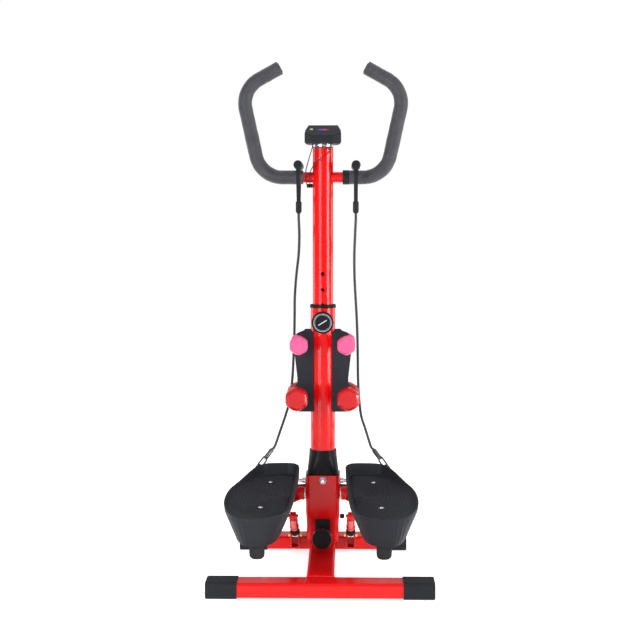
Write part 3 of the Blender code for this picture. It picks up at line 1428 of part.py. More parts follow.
def elastic_rope(side_name):
    """The rope from its clamp under the handle, down behind the dumbbells, to its sleeve at the pedal."""
    side = SIDES[side_name]
    top = Vector(({"left": LEFT_HANDLE_X, "right": RIGHT_HANDLE_X}[side_name], MAST_Y, CLAMP_TOP - CLAMP_LENGTH - GAP))
    sleeve_start, _, _ = hook_places(side)
    end = sleeve_start - HOOK_DIRECTION[side] * GAP
    tail = [
        (side * 0.0920, 0.2090, 0.3180),
        (side * 0.1010, 0.1960, 0.2920),
        end - HOOK_DIRECTION[side] * 0.012,
    ]
    route = [top, top - Vector((0, 0, 0.012)), *ROPE_ROUTES[side_name][1:], *tail, end]
    return cord(f"rope_{side_name}", route, ROPE_RADIUS, MATERIALS["rope"], 3)


def rope_hook(side_name):
    """The sleeve clamped on the rope's end and the wire snap hook that runs through the pedal's eye."""
    side = SIDES[side_name]
    along = HOOK_DIRECTION[side]
    sleeve_start, hook_start, ring_end = hook_places(side)
    profile = [
        (0.0042, 0.0),
        (ROPE_SLEEVE_RADIUS, 0.003),
        (ROPE_SLEEVE_RADIUS, ROPE_SLEEVE_LENGTH - 0.004),
        (0.0042, ROPE_SLEEVE_LENGTH),
    ]
    bm = turned(profile, sleeve_start, along, SMALL_ROUND)
    obj = solid(f"rope_hook_{side_name}", bm, MATERIALS["hook_steel"], pivot=(0, PIVOT_Y, PIVOT_Z))
    _, _, across = eye_frame(side)
    half = HOOK_HALF_WIDTH - HOOK_WIRE
    start = hook_start - along * 0.004
    stop = ring_end + along * (EYE_HOLE_RADIUS - HOOK_WIRE - 0.0008)
    loop = []
    for i in range(10):
        angle = math.pi * i / 9
        loop.append(start + along * half * (1 - math.sin(angle)) + across * (half * math.cos(angle)))
    for i in range(10):
        angle = math.pi * i / 9
        loop.append(stop - along * half * (1 - math.sin(angle)) - across * (half * math.cos(angle)))
    normal = along.cross(across)
    rings = []
    count = len(loop)
    for i in range(count):
        tangent = (loop[(i + 1) % count] - loop[i - 1]).normalized()
        rings.append(ring_at(loop[i], tangent, HOOK_WIRE, 8, normal))
    combine(obj, helper(f"snap_loop_{side_name}", skin(rings, closed=True)), "UNION")
    return obj


WIRE_ROUTES = {
    "pulse_wire": [
        (-0.0230, 0.1470, CONSOLE_BOTTOM - GAP),
        (-0.0250, 0.1450, 0.9560),
        (-0.0290, 0.1430, 0.9430),
        (-0.0330, 0.1430, 0.9290),
        (-0.0370, 0.1460, 0.9160),
        (-0.0395, 0.1500, 0.9060),
        (-0.0400, 0.1514, 0.8980),
        (-0.0400, 0.1516, 0.8880),
        (-0.0390, 0.1530, 0.8780),
        (-0.0365, 0.1570, 0.8715),
        (-0.0320, 0.1620, 0.8692),
        (-0.0247, 0.1640, 0.8688),
    ],
    "sensor_wire": [
        (0.0200, 0.1390, CONSOLE_BOTTOM - GAP),
        (0.0190, 0.1370, 0.9560),
        (0.0110, 0.1350, 0.9440),
        (-0.0030, 0.1350, 0.9330),
        (-0.0170, 0.1380, 0.9230),
        (-0.0255, 0.1450, 0.9100),
        (-0.0290, 0.1500, 0.9030),
        (-0.0302, 0.1514, 0.8970),
        (-0.0305, 0.1516, 0.8880),
        (-0.0304, 0.1530, 0.8790),
        (-0.0298, 0.1565, 0.8738),
        (-0.0282, 0.1602, 0.8721),
        (-0.0247, 0.1625, 0.8718),
    ],
}


def console_wires():
    for name, route in WIRE_ROUTES.items():
        cord(name, route, WIRE_RADIUS, MATERIALS["wire"], 2)


# ---------------------------------------------------------------- build
clear_scene()

MATERIALS = {
    "cutter": finish("cutter", (0.5, 0.5, 0.5), 0.5),
    "red_paint": finish("red_paint", (0.72, 0.02, 0.02), 0.28),
    "cap_plastic": finish("cap_plastic", (0.045, 0.05, 0.055), 0.55),
    "sleeve_plastic": finish("sleeve_plastic", (0.02, 0.02, 0.024), 0.45),
    "knob_plastic": finish("knob_plastic", (0.02, 0.02, 0.022), 0.4),
    "pedal_plastic": finish("pedal_plastic", (0.04, 0.042, 0.047), 0.55),
    "rack_plastic": finish("rack_plastic", (0.03, 0.032, 0.038), 0.5),
    "console_plastic": finish("console_plastic", (0.03, 0.032, 0.036), 0.45),
    "handle_plastic": finish("handle_plastic", (0.025, 0.025, 0.028), 0.4),
    "foam": finish("foam", (0.04, 0.04, 0.045), 0.85),
    "rubber": finish("rubber", (0.02, 0.02, 0.02), 0.8),
    "rope": finish("rope", (0.02, 0.02, 0.02), 0.7),
    "wire": finish("wire", (0.02, 0.02, 0.02), 0.5),
    "bright_steel": finish("bright_steel", (0.72, 0.72, 0.74), 0.25, 1.0),
    "gold_steel": finish("gold_steel", (0.80, 0.62, 0.30), 0.3, 1.0),
    "hook_steel": finish("hook_steel", (0.55, 0.55, 0.57), 0.3, 1.0),
    "dark_steel": finish("dark_steel", (0.10, 0.10, 0.11), 0.45, 0.6),
    "chrome": finish("chrome", (0.75, 0.76, 0.78), 0.12, 1.0),
    "screen": finish("screen", (0.03, 0.02, 0.05), 0.1),
    "button": finish("button", (0.55, 0.56, 0.58), 0.4),
    "pink_vinyl": finish("pink_vinyl", (0.87, 0.16, 0.32), 0.3),
    "red_vinyl": finish("red_vinyl", (0.60, 0.01, 0.03), 0.25),
}

crossbar("near_crossbar", NEAR_Y, BASE_LENGTH)
crossbar("far_crossbar", FAR_Y, FAR_LENGTH)
for bar, bar_y, bar_length in (("near", NEAR_Y, BASE_LENGTH), ("far", FAR_Y, FAR_LENGTH)):
    for end_name, end_side in SIDES.items():
        end_cap(f"{bar}_cap_{end_name}", bar_y, bar_length, end_side)
spine_tube()
column()
column_sleeve()
lower_mast()
mast_collar()
upper_mast()
pin_housing()
pin_knob()
handlebar()
console_bracket()
console_shell()
console_screen()
mode_button()
front_bolt()
cross_bolt()
pivot_axle()
cadence_sensor()
tension_plate()
tension_knob()
rocker()
for hand, hand_side in SIDES.items():
    foam_grip(hand)
    rack_plate(hand)
    dumbbell(
        f"pink_dumbbell_{hand}",
        hand_side * PINK_X,
        PINK_Z,
        PINK_LENGTH,
        PINK_HEAD,
        PINK_HEAD_LENGTH,
        PINK_GRIP,
        MATERIALS["pink_vinyl"],
    )
    dumbbell(
        f"red_dumbbell_{hand}",
        hand_side * RED_X,
        RED_Z,
        RED_LENGTH,
        RED_HEAD,
        RED_HEAD_LENGTH,
        RED_GRIP,
        MATERIALS["red_vinyl"],
    )
    pedal(hand)
    pedal_arm(hand)
    pedal_screw(hand, "toe")
    pedal_screw(hand, "heel")
    bumper(hand)
    damper_bracket(hand)
    damper_bolt(hand)
    damper_rod(hand)
    damper_cylinder(hand)
    rope_handle(hand)
    elastic_rope(hand)
    rope_hook(hand)
console_wires()
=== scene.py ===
import json
import math

import bmesh
import bpy
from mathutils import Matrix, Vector
from mathutils.bvhtree import BVHTree


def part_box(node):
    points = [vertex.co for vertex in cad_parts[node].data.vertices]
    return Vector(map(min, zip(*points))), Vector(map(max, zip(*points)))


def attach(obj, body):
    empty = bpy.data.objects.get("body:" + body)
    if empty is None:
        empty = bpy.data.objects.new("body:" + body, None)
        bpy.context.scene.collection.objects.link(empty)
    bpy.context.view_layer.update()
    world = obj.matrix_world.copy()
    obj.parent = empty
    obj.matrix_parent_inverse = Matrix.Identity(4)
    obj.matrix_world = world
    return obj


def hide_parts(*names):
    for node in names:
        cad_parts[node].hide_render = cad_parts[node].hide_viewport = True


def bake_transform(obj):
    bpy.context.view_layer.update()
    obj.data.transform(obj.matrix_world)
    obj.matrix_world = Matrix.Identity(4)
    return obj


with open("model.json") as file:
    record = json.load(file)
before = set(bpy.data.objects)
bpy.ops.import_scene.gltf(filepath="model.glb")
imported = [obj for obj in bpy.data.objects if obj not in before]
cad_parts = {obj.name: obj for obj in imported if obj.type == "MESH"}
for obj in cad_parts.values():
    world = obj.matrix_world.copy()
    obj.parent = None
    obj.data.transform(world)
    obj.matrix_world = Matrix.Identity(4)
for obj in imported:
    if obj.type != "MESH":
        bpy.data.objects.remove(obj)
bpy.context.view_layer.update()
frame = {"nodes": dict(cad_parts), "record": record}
nodes = frame["nodes"]


def middleOf(node):
    low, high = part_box(node)
    return (low + high) / 2


def deselectAll():
    if bpy.context.object and bpy.context.object.mode != "OBJECT":
        bpy.ops.object.mode_set(mode="OBJECT")
    bpy.ops.object.select_all(action="DESELECT")


def makeActive(piece):
    deselectAll()
    piece.select_set(True)
    bpy.context.view_layer.objects.active = piece


def addNode(tree, kind, **settings):
    node = tree.nodes.new(kind)
    for key, value in settings.items():
        setattr(node, key, value)
    return node


# camera and light
studio = {
    "eye": (0.047, -2.867, 0.7764),
    "pitchDown": 4.17,
    "turnLeft": 1.02,
    "lens": 72.5,
    "sensor": 36.0,
    "floorSize": 30.0,
    "floorGlow": 0.66,
    "worldLight": 0.4,
    "worldSeen": 1.0,
    "aim": (0, 0.05, 0.55),
    "lights": (  # name, place, size, watts
        ("leftStreak", (-1.65, -2.15, 1.15), (0.34, 2.3), 58),
        ("rightStreak", (2.30, -1.05, 1.15), (0.30, 2.3), 58),
        ("broadFront", (-0.3, -3.4, 1.9), (2.0, 1.4), 6),
        ("leftRim", (-1.5, 0.9, 1.0), (0.3, 2.2), 7),
        ("rightRim", (1.5, 1.0, 1.0), (0.3, 2.2), 7),
        ("topPanel", (0.0, 0.2, 2.9), (2.2, 2.2), 20),
    ),
}


def setUpStudio():
    camera = bpy.data.objects.new("studioCamera", bpy.data.cameras.new("studioCamera"))
    camera.location = studio["eye"]
    camera.rotation_euler = (math.radians(90 - studio["pitchDown"]), 0, math.radians(studio["turnLeft"]))
    camera.data.lens = studio["lens"]
    camera.data.sensor_width = studio["sensor"]
    bpy.context.scene.collection.objects.link(camera)
    bpy.context.scene.camera = camera

    world = bpy.data.worlds.new("paleRoom")
    world.use_nodes = True
    room = world.node_tree
    seen = addNode(room, "ShaderNodeLightPath")
    level = addNode(room, "ShaderNodeMapRange")
    level.inputs["To Min"].default_value = studio["worldLight"]
    level.inputs["To Max"].default_value = studio["worldSeen"]
    room.links.new(seen.outputs["Is Camera Ray"], level.inputs["Value"])
    room.links.new(level.outputs["Result"], room.nodes["Background"].inputs["Strength"])
    room.nodes["Background"].inputs["Color"].default_value = (1, 1, 1, 1)
    bpy.context.scene.world = world

    for name, place, size, power in studio["lights"]:
        light = bpy.data.lights.new(name, "AREA")
        light.shape = "RECTANGLE"
        light.size, light.size_y = size
        light.energy = power
        holder = bpy.data.objects.new(name, light)
        holder.location = place
        aim = Vector(studio["aim"]) - Vector(place)
        holder.rotation_euler = aim.to_track_quat("-Z", "Y").to_euler()
        bpy.context.scene.collection.objects.link(holder)

    deselectAll()
    bpy.ops.mesh.primitive_plane_add(size=studio["floorSize"], location=(0, 8, -0.0004))
    floor = bpy.context.object
    floor.name = "studioFloor"
    floorPaint = bpy.data.materials.new("palePaper")
    floorPaint.use_nodes = True
    shader = floorPaint.node_tree.nodes["Principled BSDF"]
    shader.inputs["Base Color"].default_value = (0.93, 0.93, 0.93, 1)
    shader.inputs["Roughness"].default_value = 0.9
    shader.inputs["Specular IOR Level"].default_value = 0.1
    shader.inputs["Emission Color"].default_value = (1, 1, 1, 1)
    shader.inputs["Emission Strength"].default_value = studio["floorGlow"]
    floor.data.materials.append(floorPaint)
    bpy.context.scene.view_settings.view_transform = "Standard"
    bpy.context.scene.view_settings.look = "None"


setUpStudio()
print("studio is set")


# finishes: what they share, then what each has of its own
finishBase = {
    "patchSize": 9,
    "tintFrom": 0.32,
    "tintTo": 0.68,
    "edge": 0.0009,
    "wearFrom": 0.97,
    "wearTo": 0.86,
    "bumpDepth": 0.0002,
    "specular": 0.13,
    "coatRough": 0.05,
    "sheenRough": 0.4,
}


def makeFinish(name, look):
    material = bpy.data.materials.new(name)
    material.use_nodes = True
    tree = material.node_tree
    shader = tree.nodes["Principled BSDF"]
    place = addNode(tree, "ShaderNodeTexCoord")

    patches = addNode(tree, "ShaderNodeTexNoise")
    patches.inputs["Scale"].default_value = look.get("patchSize", finishBase["patchSize"])
    patches.inputs["Detail"].default_value = 4
    tree.links.new(place.outputs["Object"], patches.inputs["Vector"])
    tint = addNode(tree, "ShaderNodeValToRGB")
    tint.color_ramp.elements[0].position = finishBase["tintFrom"]
    tint.color_ramp.elements[1].position = finishBase["tintTo"]
    tint.color_ramp.elements[0].color = (*look["dark"], 1)
    tint.color_ramp.elements[1].color = (*look["light"], 1)
    tree.links.new(patches.outputs["Fac"], tint.inputs["Fac"])
    colour = tint.outputs["Color"]

    grain = addNode(tree, "ShaderNodeTexNoise")
    grain.inputs["Scale"].default_value = look["grain"]
    grain.inputs["Detail"].default_value = 3
    tree.links.new(place.outputs["Object"], grain.inputs["Vector"])

    # a bevelled normal turns off at corners, so it rounds them and finds where they rub
    rounded = addNode(tree, "ShaderNodeBevel", samples=4)
    rounded.inputs["Radius"].default_value = finishBase["edge"]
    if look.get("wear"):
        flat = addNode(tree, "ShaderNodeNewGeometry")
        agree = addNode(tree, "ShaderNodeVectorMath", operation="DOT_PRODUCT")
        tree.links.new(rounded.outputs["Normal"], agree.inputs[0])
        tree.links.new(flat.outputs["Normal"], agree.inputs[1])
        rubbed = addNode(tree, "ShaderNodeMapRange")
        rubbed.inputs["From Min"].default_value = finishBase["wearFrom"]
        rubbed.inputs["From Max"].default_value = finishBase["wearTo"]
        tree.links.new(agree.outputs["Value"], rubbed.inputs["Value"])
        uneven = addNode(tree, "ShaderNodeMath", operation="MULTIPLY")
        tree.links.new(rubbed.outputs["Result"], uneven.inputs[0])
        tree.links.new(patches.outputs["Fac"], uneven.inputs[1])
        rub = addNode(tree, "ShaderNodeMix", data_type="RGBA")
        rub.inputs["B"].default_value = (*look["wear"], 1)
        tree.links.new(uneven.outputs["Value"], rub.inputs["Factor"])
        tree.links.new(colour, rub.inputs["A"])
        colour = rub.outputs["Result"]
    tree.links.new(colour, shader.inputs["Base Color"])

    shine = addNode(tree, "ShaderNodeMapRange")
    shine.inputs["To Min"].default_value = look["rough"][0]
    shine.inputs["To Max"].default_value = look["rough"][1]
    tree.links.new(patches.outputs["Fac"], shine.inputs["Value"])
    tree.links.new(shine.outputs["Result"], shader.inputs["Roughness"])

    bump = addNode(tree, "ShaderNodeBump")
    bump.inputs["Strength"].default_value = look["bump"]
    bump.inputs["Distance"].default_value = look.get("bumpDepth", finishBase["bumpDepth"])
    tree.links.new(grain.outputs["Fac"], bump.inputs["Height"])
    tree.links.new(rounded.outputs["Normal"], bump.inputs["Normal"])
    tree.links.new(bump.outputs["Normal"], shader.inputs["Normal"])

    shader.inputs["Specular IOR Level"].default_value = look.get("specular", finishBase["specular"])
    shader.inputs["Metallic"].default_value = look.get("metal", 0.0)
    shader.inputs["Coat Weight"].default_value = look.get("coat", 0.0)
    shader.inputs["Coat Roughness"].default_value = finishBase["coatRough"]
    shader.inputs["Sheen Weight"].default_value = look.get("sheen", 0.0)
    shader.inputs["Sheen Roughness"].default_value = finishBase["sheenRough"]
    return material


finishes = {
    "red_paint": {
        "light": (0.64, 0.003, 0.004), "dark": (0.56, 0.002, 0.003), "rough": (0.13, 0.20),
        "grain": 420, "bump": 0.05, "coat": 0.05, "specular": 0.24, "wear": (0.86, 0.04, 0.04),
    },
    "cap_plastic": {
        "light": (0.015, 0.016, 0.020), "dark": (0.010, 0.011, 0.014), "rough": (0.46, 0.60),
        "grain": 1500, "bump": 0.22, "wear": (0.060, 0.063, 0.070),
    },
    "sleeve_plastic": {
        "light": (0.005, 0.005, 0.007), "dark": (0.003, 0.003, 0.004), "rough": (0.36, 0.48),
        "grain": 1300, "bump": 0.12, "wear": (0.06, 0.06, 0.07),
    },
    "knob_plastic": {
        "light": (0.011, 0.011, 0.013), "dark": (0.007, 0.007, 0.008), "rough": (0.30, 0.42),
        "grain": 1100, "bump": 0.10, "wear": (0.07, 0.07, 0.075),
    },
    "pedal_plastic": {
        "light": (0.019, 0.021, 0.026), "dark": (0.013, 0.014, 0.018), "rough": (0.44, 0.58),
        "grain": 1400, "bump": 0.22, "wear": (0.070, 0.073, 0.080),
    },
    "rack_plastic": {
        "light": (0.020, 0.021, 0.028), "dark": (0.013, 0.014, 0.019), "rough": (0.44, 0.56),
        "grain": 1400, "bump": 0.15, "wear": (0.055, 0.058, 0.066),
    },
    "console_plastic": {
        "light": (0.017, 0.018, 0.023), "dark": (0.011, 0.012, 0.015), "rough": (0.40, 0.52),
        "grain": 1600, "bump": 0.18, "wear": (0.060, 0.063, 0.070),
    },
    "handle_plastic": {
        "light": (0.014, 0.014, 0.017), "dark": (0.009, 0.009, 0.011), "rough": (0.32, 0.46),
        "grain": 1000, "bump": 0.14, "wear": (0.08, 0.08, 0.09),
    },
    "foam": {
        "light": (0.034, 0.035, 0.040), "dark": (0.020, 0.020, 0.026), "rough": (0.50, 0.62),
        "grain": 1900, "bump": 0.55, "bumpDepth": 0.0006, "sheen": 0.35, "specular": 0.4,
        "patchSize": 30,
    },
    "rubber": {
        "light": (0.024, 0.024, 0.025), "dark": (0.015, 0.015, 0.016), "rough": (0.66, 0.82),
        "grain": 900, "bump": 0.25,
    },
    "wire": {
        "light": (0.022, 0.022, 0.024), "dark": (0.016, 0.016, 0.018), "rough": (0.38, 0.50),
        "grain": 1200, "bump": 0.05,
    },
    "bright_steel": {
        "light": (0.74, 0.74, 0.76), "dark": (0.58, 0.58, 0.61), "rough": (0.18, 0.34), "grain": 700,
        "bump": 0.06, "metal": 1.0, "patchSize": 40,
    },
    "gold_steel": {
        "light": (0.85, 0.66, 0.30), "dark": (0.66, 0.48, 0.20), "rough": (0.22, 0.38), "grain": 700,
        "bump": 0.06, "metal": 1.0, "patchSize": 40,
    },
    "hook_steel": {
        "light": (0.12, 0.12, 0.125), "dark": (0.06, 0.06, 0.065), "rough": (0.26, 0.40), "grain": 800,
        "bump": 0.06, "metal": 1.0, "patchSize": 40,
    },
    "dark_steel": {
        "light": (0.085, 0.085, 0.09), "dark": (0.05, 0.05, 0.055), "rough": (0.36, 0.52), "grain": 600,
        "bump": 0.12, "metal": 0.6, "wear": (0.30, 0.30, 0.31),
    },
    "chrome": {
        "light": (0.80, 0.81, 0.83), "dark": (0.68, 0.69, 0.72), "rough": (0.06, 0.14), "grain": 500,
        "bump": 0.02, "metal": 1.0,
    },
    "button": {
        "light": (0.42, 0.43, 0.45), "dark": (0.34, 0.35, 0.37), "rough": (0.42, 0.52), "grain": 900,
        "bump": 0.10,
    },
    "pink_vinyl": {
        "light": (0.72, 0.095, 0.235), "dark": (0.64, 0.072, 0.190), "rough": (0.22, 0.34),
        "grain": 300, "bump": 0.10, "coat": 0.25, "bumpDepth": 0.0004,
    },
    "red_vinyl": {
        "light": (0.46, 0.002, 0.005), "dark": (0.37, 0.001, 0.003), "rough": (0.16, 0.26),
        "grain": 260, "bump": 0.10, "coat": 0.2, "specular": 0.3, "bumpDepth": 0.0004,
    },
}
finish = {name: makeFinish(name, look) for name, look in finishes.items()}


display = {
    "size": (0.017, 0.009, 0.009),
    "leftColour": (0.16, 0.07, 0.95, 1),
    "rightColour": (1.0, 0.02, 0.10, 1),
    "fadeFrom": -0.7,
    "fadeTo": 0.7,
    "bars": 1.6,
    "glow": 2.6,
}


def makeDisplay():
    middle = middleOf("console_screen")
    material = bpy.data.materials.new("litDisplay")
    material.use_nodes = True
    tree = material.node_tree
    shader = tree.nodes["Principled BSDF"]
    place = addNode(tree, "ShaderNodeTexCoord")
    centre = addNode(tree, "ShaderNodeMapping", vector_type="TEXTURE")
    centre.inputs["Location"].default_value = middle
    centre.inputs["Scale"].default_value = display["size"]
    tree.links.new(place.outputs["Object"], centre.inputs["Vector"])
    split = addNode(tree, "ShaderNodeSeparateXYZ")
    tree.links.new(centre.outputs["Vector"], split.inputs["Vector"])
    across = addNode(tree, "ShaderNodeMapRange")
    across.inputs["From Min"].default_value = display["fadeFrom"]
    across.inputs["From Max"].default_value = display["fadeTo"]
    tree.links.new(split.outputs["X"], across.inputs["Value"])
    hue = addNode(tree, "ShaderNodeValToRGB")
    hue.color_ramp.elements[0].color = display["leftColour"]
    hue.color_ramp.elements[1].color = display["rightColour"]
    tree.links.new(across.outputs["Result"], hue.inputs["Fac"])
    bars = addNode(tree, "ShaderNodeTexBrick")
    bars.inputs["Scale"].default_value = display["bars"]
    bars.inputs["Mortar Size"].default_value = 0.05
    bars.inputs["Color1"].default_value = (1, 1, 1, 1)
    bars.inputs["Color2"].default_value = (0.25, 0.25, 0.25, 1)
    bars.inputs["Mortar"].default_value = (0, 0, 0, 1)
    tree.links.new(centre.outputs["Vector"], bars.inputs["Vector"])
    falloff = addNode(tree, "ShaderNodeTexGradient", gradient_type="SPHERICAL")
    tree.links.new(centre.outputs["Vector"], falloff.inputs["Vector"])
    lit = addNode(tree, "ShaderNodeMix", data_type="RGBA", blend_type="MULTIPLY")
    lit.inputs["Factor"].default_value = 1
    tree.links.new(hue.outputs["Color"], lit.inputs["A"])
    tree.links.new(bars.outputs["Color"], lit.inputs["B"])
    glow = addNode(tree, "ShaderNodeMix", data_type="RGBA")
    glow.inputs["A"].default_value = (0, 0, 0, 1)
    tree.links.new(falloff.outputs["Fac"], glow.inputs["Factor"])
    tree.links.new(lit.outputs["Result"], glow.inputs["B"])
    tree.links.new(glow.outputs["Result"], shader.inputs["Emission Color"])
    shader.inputs["Emission Strength"].default_value = display["glow"]
    shader.inputs["Base Color"].default_value = (0.006, 0.005, 0.012, 1)
    shader.inputs["Roughness"].default_value = 0.3
    shader.inputs["Specular IOR Level"].default_value = 0.15
    return material


finish["screen"] = makeDisplay()
slotOf = {part["node"]: part["material_slot"] for part in frame["record"]["subparts"]}
for node, piece in nodes.items():
    for materialSlot in piece.material_slots:
        materialSlot.material = finish.get(slotOf[node], materialSlot.material)
print("finishes are mixed and on the frame")


# tubes along a path, for cords, grips and bars
def roundedPath(corners, radius, steps):
    points = [Vector(corners[0])]
    for before, corner, after in zip(corners, corners[1:], corners[2:]):
        before, corner, after = Vector(before), Vector(corner), Vector(after)
        back, ahead = (before - corner).normalized(), (after - corner).normalized()
        half = back.angle(ahead) / 2
        centre = corner + (back + ahead).normalized() * (radius / math.sin(half))
        start = corner + back * (radius / math.tan(half)) - centre
        end = corner + ahead * (radius / math.tan(half)) - centre
        for i in range(steps + 1):
            points.append(centre + start.normalized().slerp(end.normalized(), i / steps) * radius)
    points.append(Vector(corners[-1]))
    return points


def smoothLine(route, spacing):
    route = [Vector(point) for point in route]
    padded = [2 * route[0] - route[1], *route, 2 * route[-1] - route[-2]]
    fine = []
    for a, b, c, d in zip(padded, padded[1:], padded[2:], padded[3:]):
        for i in range(20):
            t = i / 20
            bow = (2 * a - 5 * b + 4 * c - d) * t * t + (3 * b - a - 3 * c + d) * t**3
            fine.append(0.5 * (2 * b + (c - a) * t + bow))
    return spread([*fine, route[-1]], spacing)


# evenly spaced points along a line of close ones
def spread(fine, spacing):
    length = sum((q - p).length for p, q in zip(fine, fine[1:]))
    count = max(2, round(length / spacing))
    points, walked, target = [fine[0]], 0.0, length / count
    for p, q in zip(fine, fine[1:]):
        step = (q - p).length
        while walked + step >= target - 1e-9 and len(points) < count:
            points.append(p.lerp(q, (target - walked) / step))
            target += length / count
        walked += step
    return [*points, fine[-1]]


# a closed tube, whose uv map holds its run in metres
def tubeAlong(name, points, radii, sides):
    mesh = bpy.data.meshes.new(name)
    tube = bmesh.new()
    layer = tube.loops.layers.uv.new("run")
    last = len(points) - 1
    side = (points[1] - points[0]).orthogonal()
    rings, runs, run = [], [], 0.0
    for i, point in enumerate(points):
        along = (points[min(i + 1, last)] - points[max(i - 1, 0)]).normalized()
        side = (side - along * side.dot(along)).normalized()
        up = along.cross(side)
        if i:
            run += (point - points[i - 1]).length
        runs.append(run)
        ring = []
        for k in range(sides):
            turn = math.tau * k / sides
            ring.append(tube.verts.new(point + (side * math.cos(turn) + up * math.sin(turn)) * radii[i]))
        rings.append(ring)
    for i in range(last):
        for k in range(sides):
            n = (k + 1) % sides
            face = tube.faces.new((rings[i][k], rings[i][n], rings[i + 1][n], rings[i + 1][k]))
            corners = ((k, i), (k + 1, i), (k + 1, i + 1), (k, i + 1))
            for loop, (u, v) in zip(face.loops, corners):
                loop[layer].uv = (u / sides, runs[v])
    tube.faces.new(rings[0][::-1])
    tube.faces.new(rings[-1])
    bmesh.ops.recalc_face_normals(tube, faces=tube.faces)
    tube.to_mesh(mesh)
    tube.free()
    piece = bpy.data.objects.new(name, mesh)
    bpy.context.scene.collection.objects.link(piece)
    makeActive(piece)
    bpy.ops.object.shade_smooth_by_angle(angle=math.radians(40))
    return piece


# ropes, each in two lengths that meet behind the dumbbells
# the dark braid colour is painted shade for the grooves between strands; the light one is the cord on its
# crowns
braid = {"strands": 6, "pitch": 0.0030, "valleyShade": (0.008, 0.008, 0.009, 1), "crown": (0.040, 0.040, 0.044, 1)}


def makeBraid():
    material = bpy.data.materials.new("braidedCover")
    material.use_nodes = True
    tree = material.node_tree
    shader = tree.nodes["Principled BSDF"]
    run = addNode(tree, "ShaderNodeUVMap", uv_map="run")
    split = addNode(tree, "ShaderNodeSeparateXYZ")
    tree.links.new(run.outputs["UV"], split.inputs["Vector"])
    waves = []
    for way in (1, -1):
        turns = addNode(tree, "ShaderNodeMath", operation="MULTIPLY")
        turns.inputs[1].default_value = way * braid["strands"] * math.tau
        tree.links.new(split.outputs["X"], turns.inputs[0])
        rise = addNode(tree, "ShaderNodeMath", operation="MULTIPLY_ADD")
        rise.inputs[1].default_value = math.tau / braid["pitch"]
        tree.links.new(split.outputs["Y"], rise.inputs[0])
        tree.links.new(turns.outputs["Value"], rise.inputs[2])
        wave = addNode(tree, "ShaderNodeMath", operation="SINE")
        tree.links.new(rise.outputs["Value"], wave.inputs[0])
        waves.append(wave)
    weave = addNode(tree, "ShaderNodeMath", operation="MULTIPLY")
    tree.links.new(waves[0].outputs["Value"], weave.inputs[0])
    tree.links.new(waves[1].outputs["Value"], weave.inputs[1])
    # colour follows the weave's height, so the braid is painted darker down in its grooves: painted shade
    tint = addNode(tree, "ShaderNodeValToRGB")
    tint.color_ramp.elements[0].color = braid["valleyShade"]
    tint.color_ramp.elements[1].color = braid["crown"]
    tree.links.new(weave.outputs["Value"], tint.inputs["Fac"])
    tree.links.new(tint.outputs["Color"], shader.inputs["Base Color"])
    bump = addNode(tree, "ShaderNodeBump")
    bump.inputs["Strength"].default_value = 0.6
    bump.inputs["Distance"].default_value = 0.0004
    tree.links.new(weave.outputs["Value"], bump.inputs["Height"])
    tree.links.new(bump.outputs["Normal"], shader.inputs["Normal"])
    shader.inputs["Roughness"].default_value = 0.62
    shader.inputs["Sheen Weight"].default_value = 0.3
    return material


rope = {
    "radius": 0.0031,
    "mastY": 0.167,
    "clampEnd": 0.8057,
    "eyeOffset": 0.0068,
    "hookReach": 0.028,
    "sleeve": 0.030,
    "joinAbove": 0.44,
    "bendBelow": 0.336,
    "eye": (0.1450, 0.1080),
    "eyeLift": 0.016,
    "hookAlong": (0.52, -0.58, -0.63),
    "outward": (0.69, 0.72),
    "tail": ((0.0920, 0.2090, 0.3180), (0.1010, 0.1960, 0.2920)),
    "straight": 0.012,
    "spacing": 0.006,
    "sides": 16,
    "left": {
        "handleX": -0.057,
        "route": [(-0.0560, 0.1780, 0.7550), (-0.0580, 0.1900, 0.7100), (-0.0640, 0.2030, 0.6600),
                  (-0.0680, 0.2130, 0.6100), (-0.0690, 0.2200, 0.5600), (-0.0700, 0.2235, 0.5100),
                  (-0.0720, 0.2245, 0.4600), (-0.0740, 0.2245, 0.4200), (-0.0780, 0.2230, 0.3800),
                  (-0.0840, 0.2170, 0.3450)],
    },
    "right": {
        "handleX": 0.077,
        "route": [(0.0755, 0.1780, 0.7550), (0.0740, 0.1900, 0.7100), (0.0745, 0.2030, 0.6600),
                  (0.0770, 0.2130, 0.6100), (0.0800, 0.2200, 0.5600), (0.0820, 0.2235, 0.5100),
                  (0.0830, 0.2245, 0.4600), (0.0835, 0.2245, 0.4200), (0.0850, 0.2230, 0.3800),
                  (0.0880, 0.2170, 0.3450)],
    },
}
treadPlane = {"heelZ": 0.155, "slope": 0.138, "heelY": -0.200}


def treadZ(y):
    return treadPlane["heelZ"] + treadPlane["slope"] * (y - treadPlane["heelY"])


# where the rope meets the sleeve of its hook, and the way the hook points
def hookLine(side):
    alongX, alongY, alongZ = rope["hookAlong"]
    along = Vector((side * alongX, alongY, alongZ)).normalized()
    outward = Vector((side * rope["outward"][0], rope["outward"][1], 0)).normalized()
    eyeX, eyeY = rope["eye"]
    eye = Vector((side * eyeX, eyeY, treadZ(eyeY) + rope["eyeLift"])) + outward * rope["eyeOffset"]
    return eye - along * (rope["hookReach"] + rope["sleeve"]), along


def ropePath(hand, side):
    top = Vector((rope[hand]["handleX"], rope["mastY"], rope["clampEnd"]))
    sleeveStart, along = hookLine(side)
    end = sleeveStart - along * 0.0003
    tail = [(side * x, y, z) for x, y, z in rope["tail"]]
    drop = top - Vector((0, 0, rope["straight"]))
    route = [top, drop, *rope[hand]["route"], *tail, end - along * rope["straight"], end]
    return smoothLine(route, rope["spacing"])


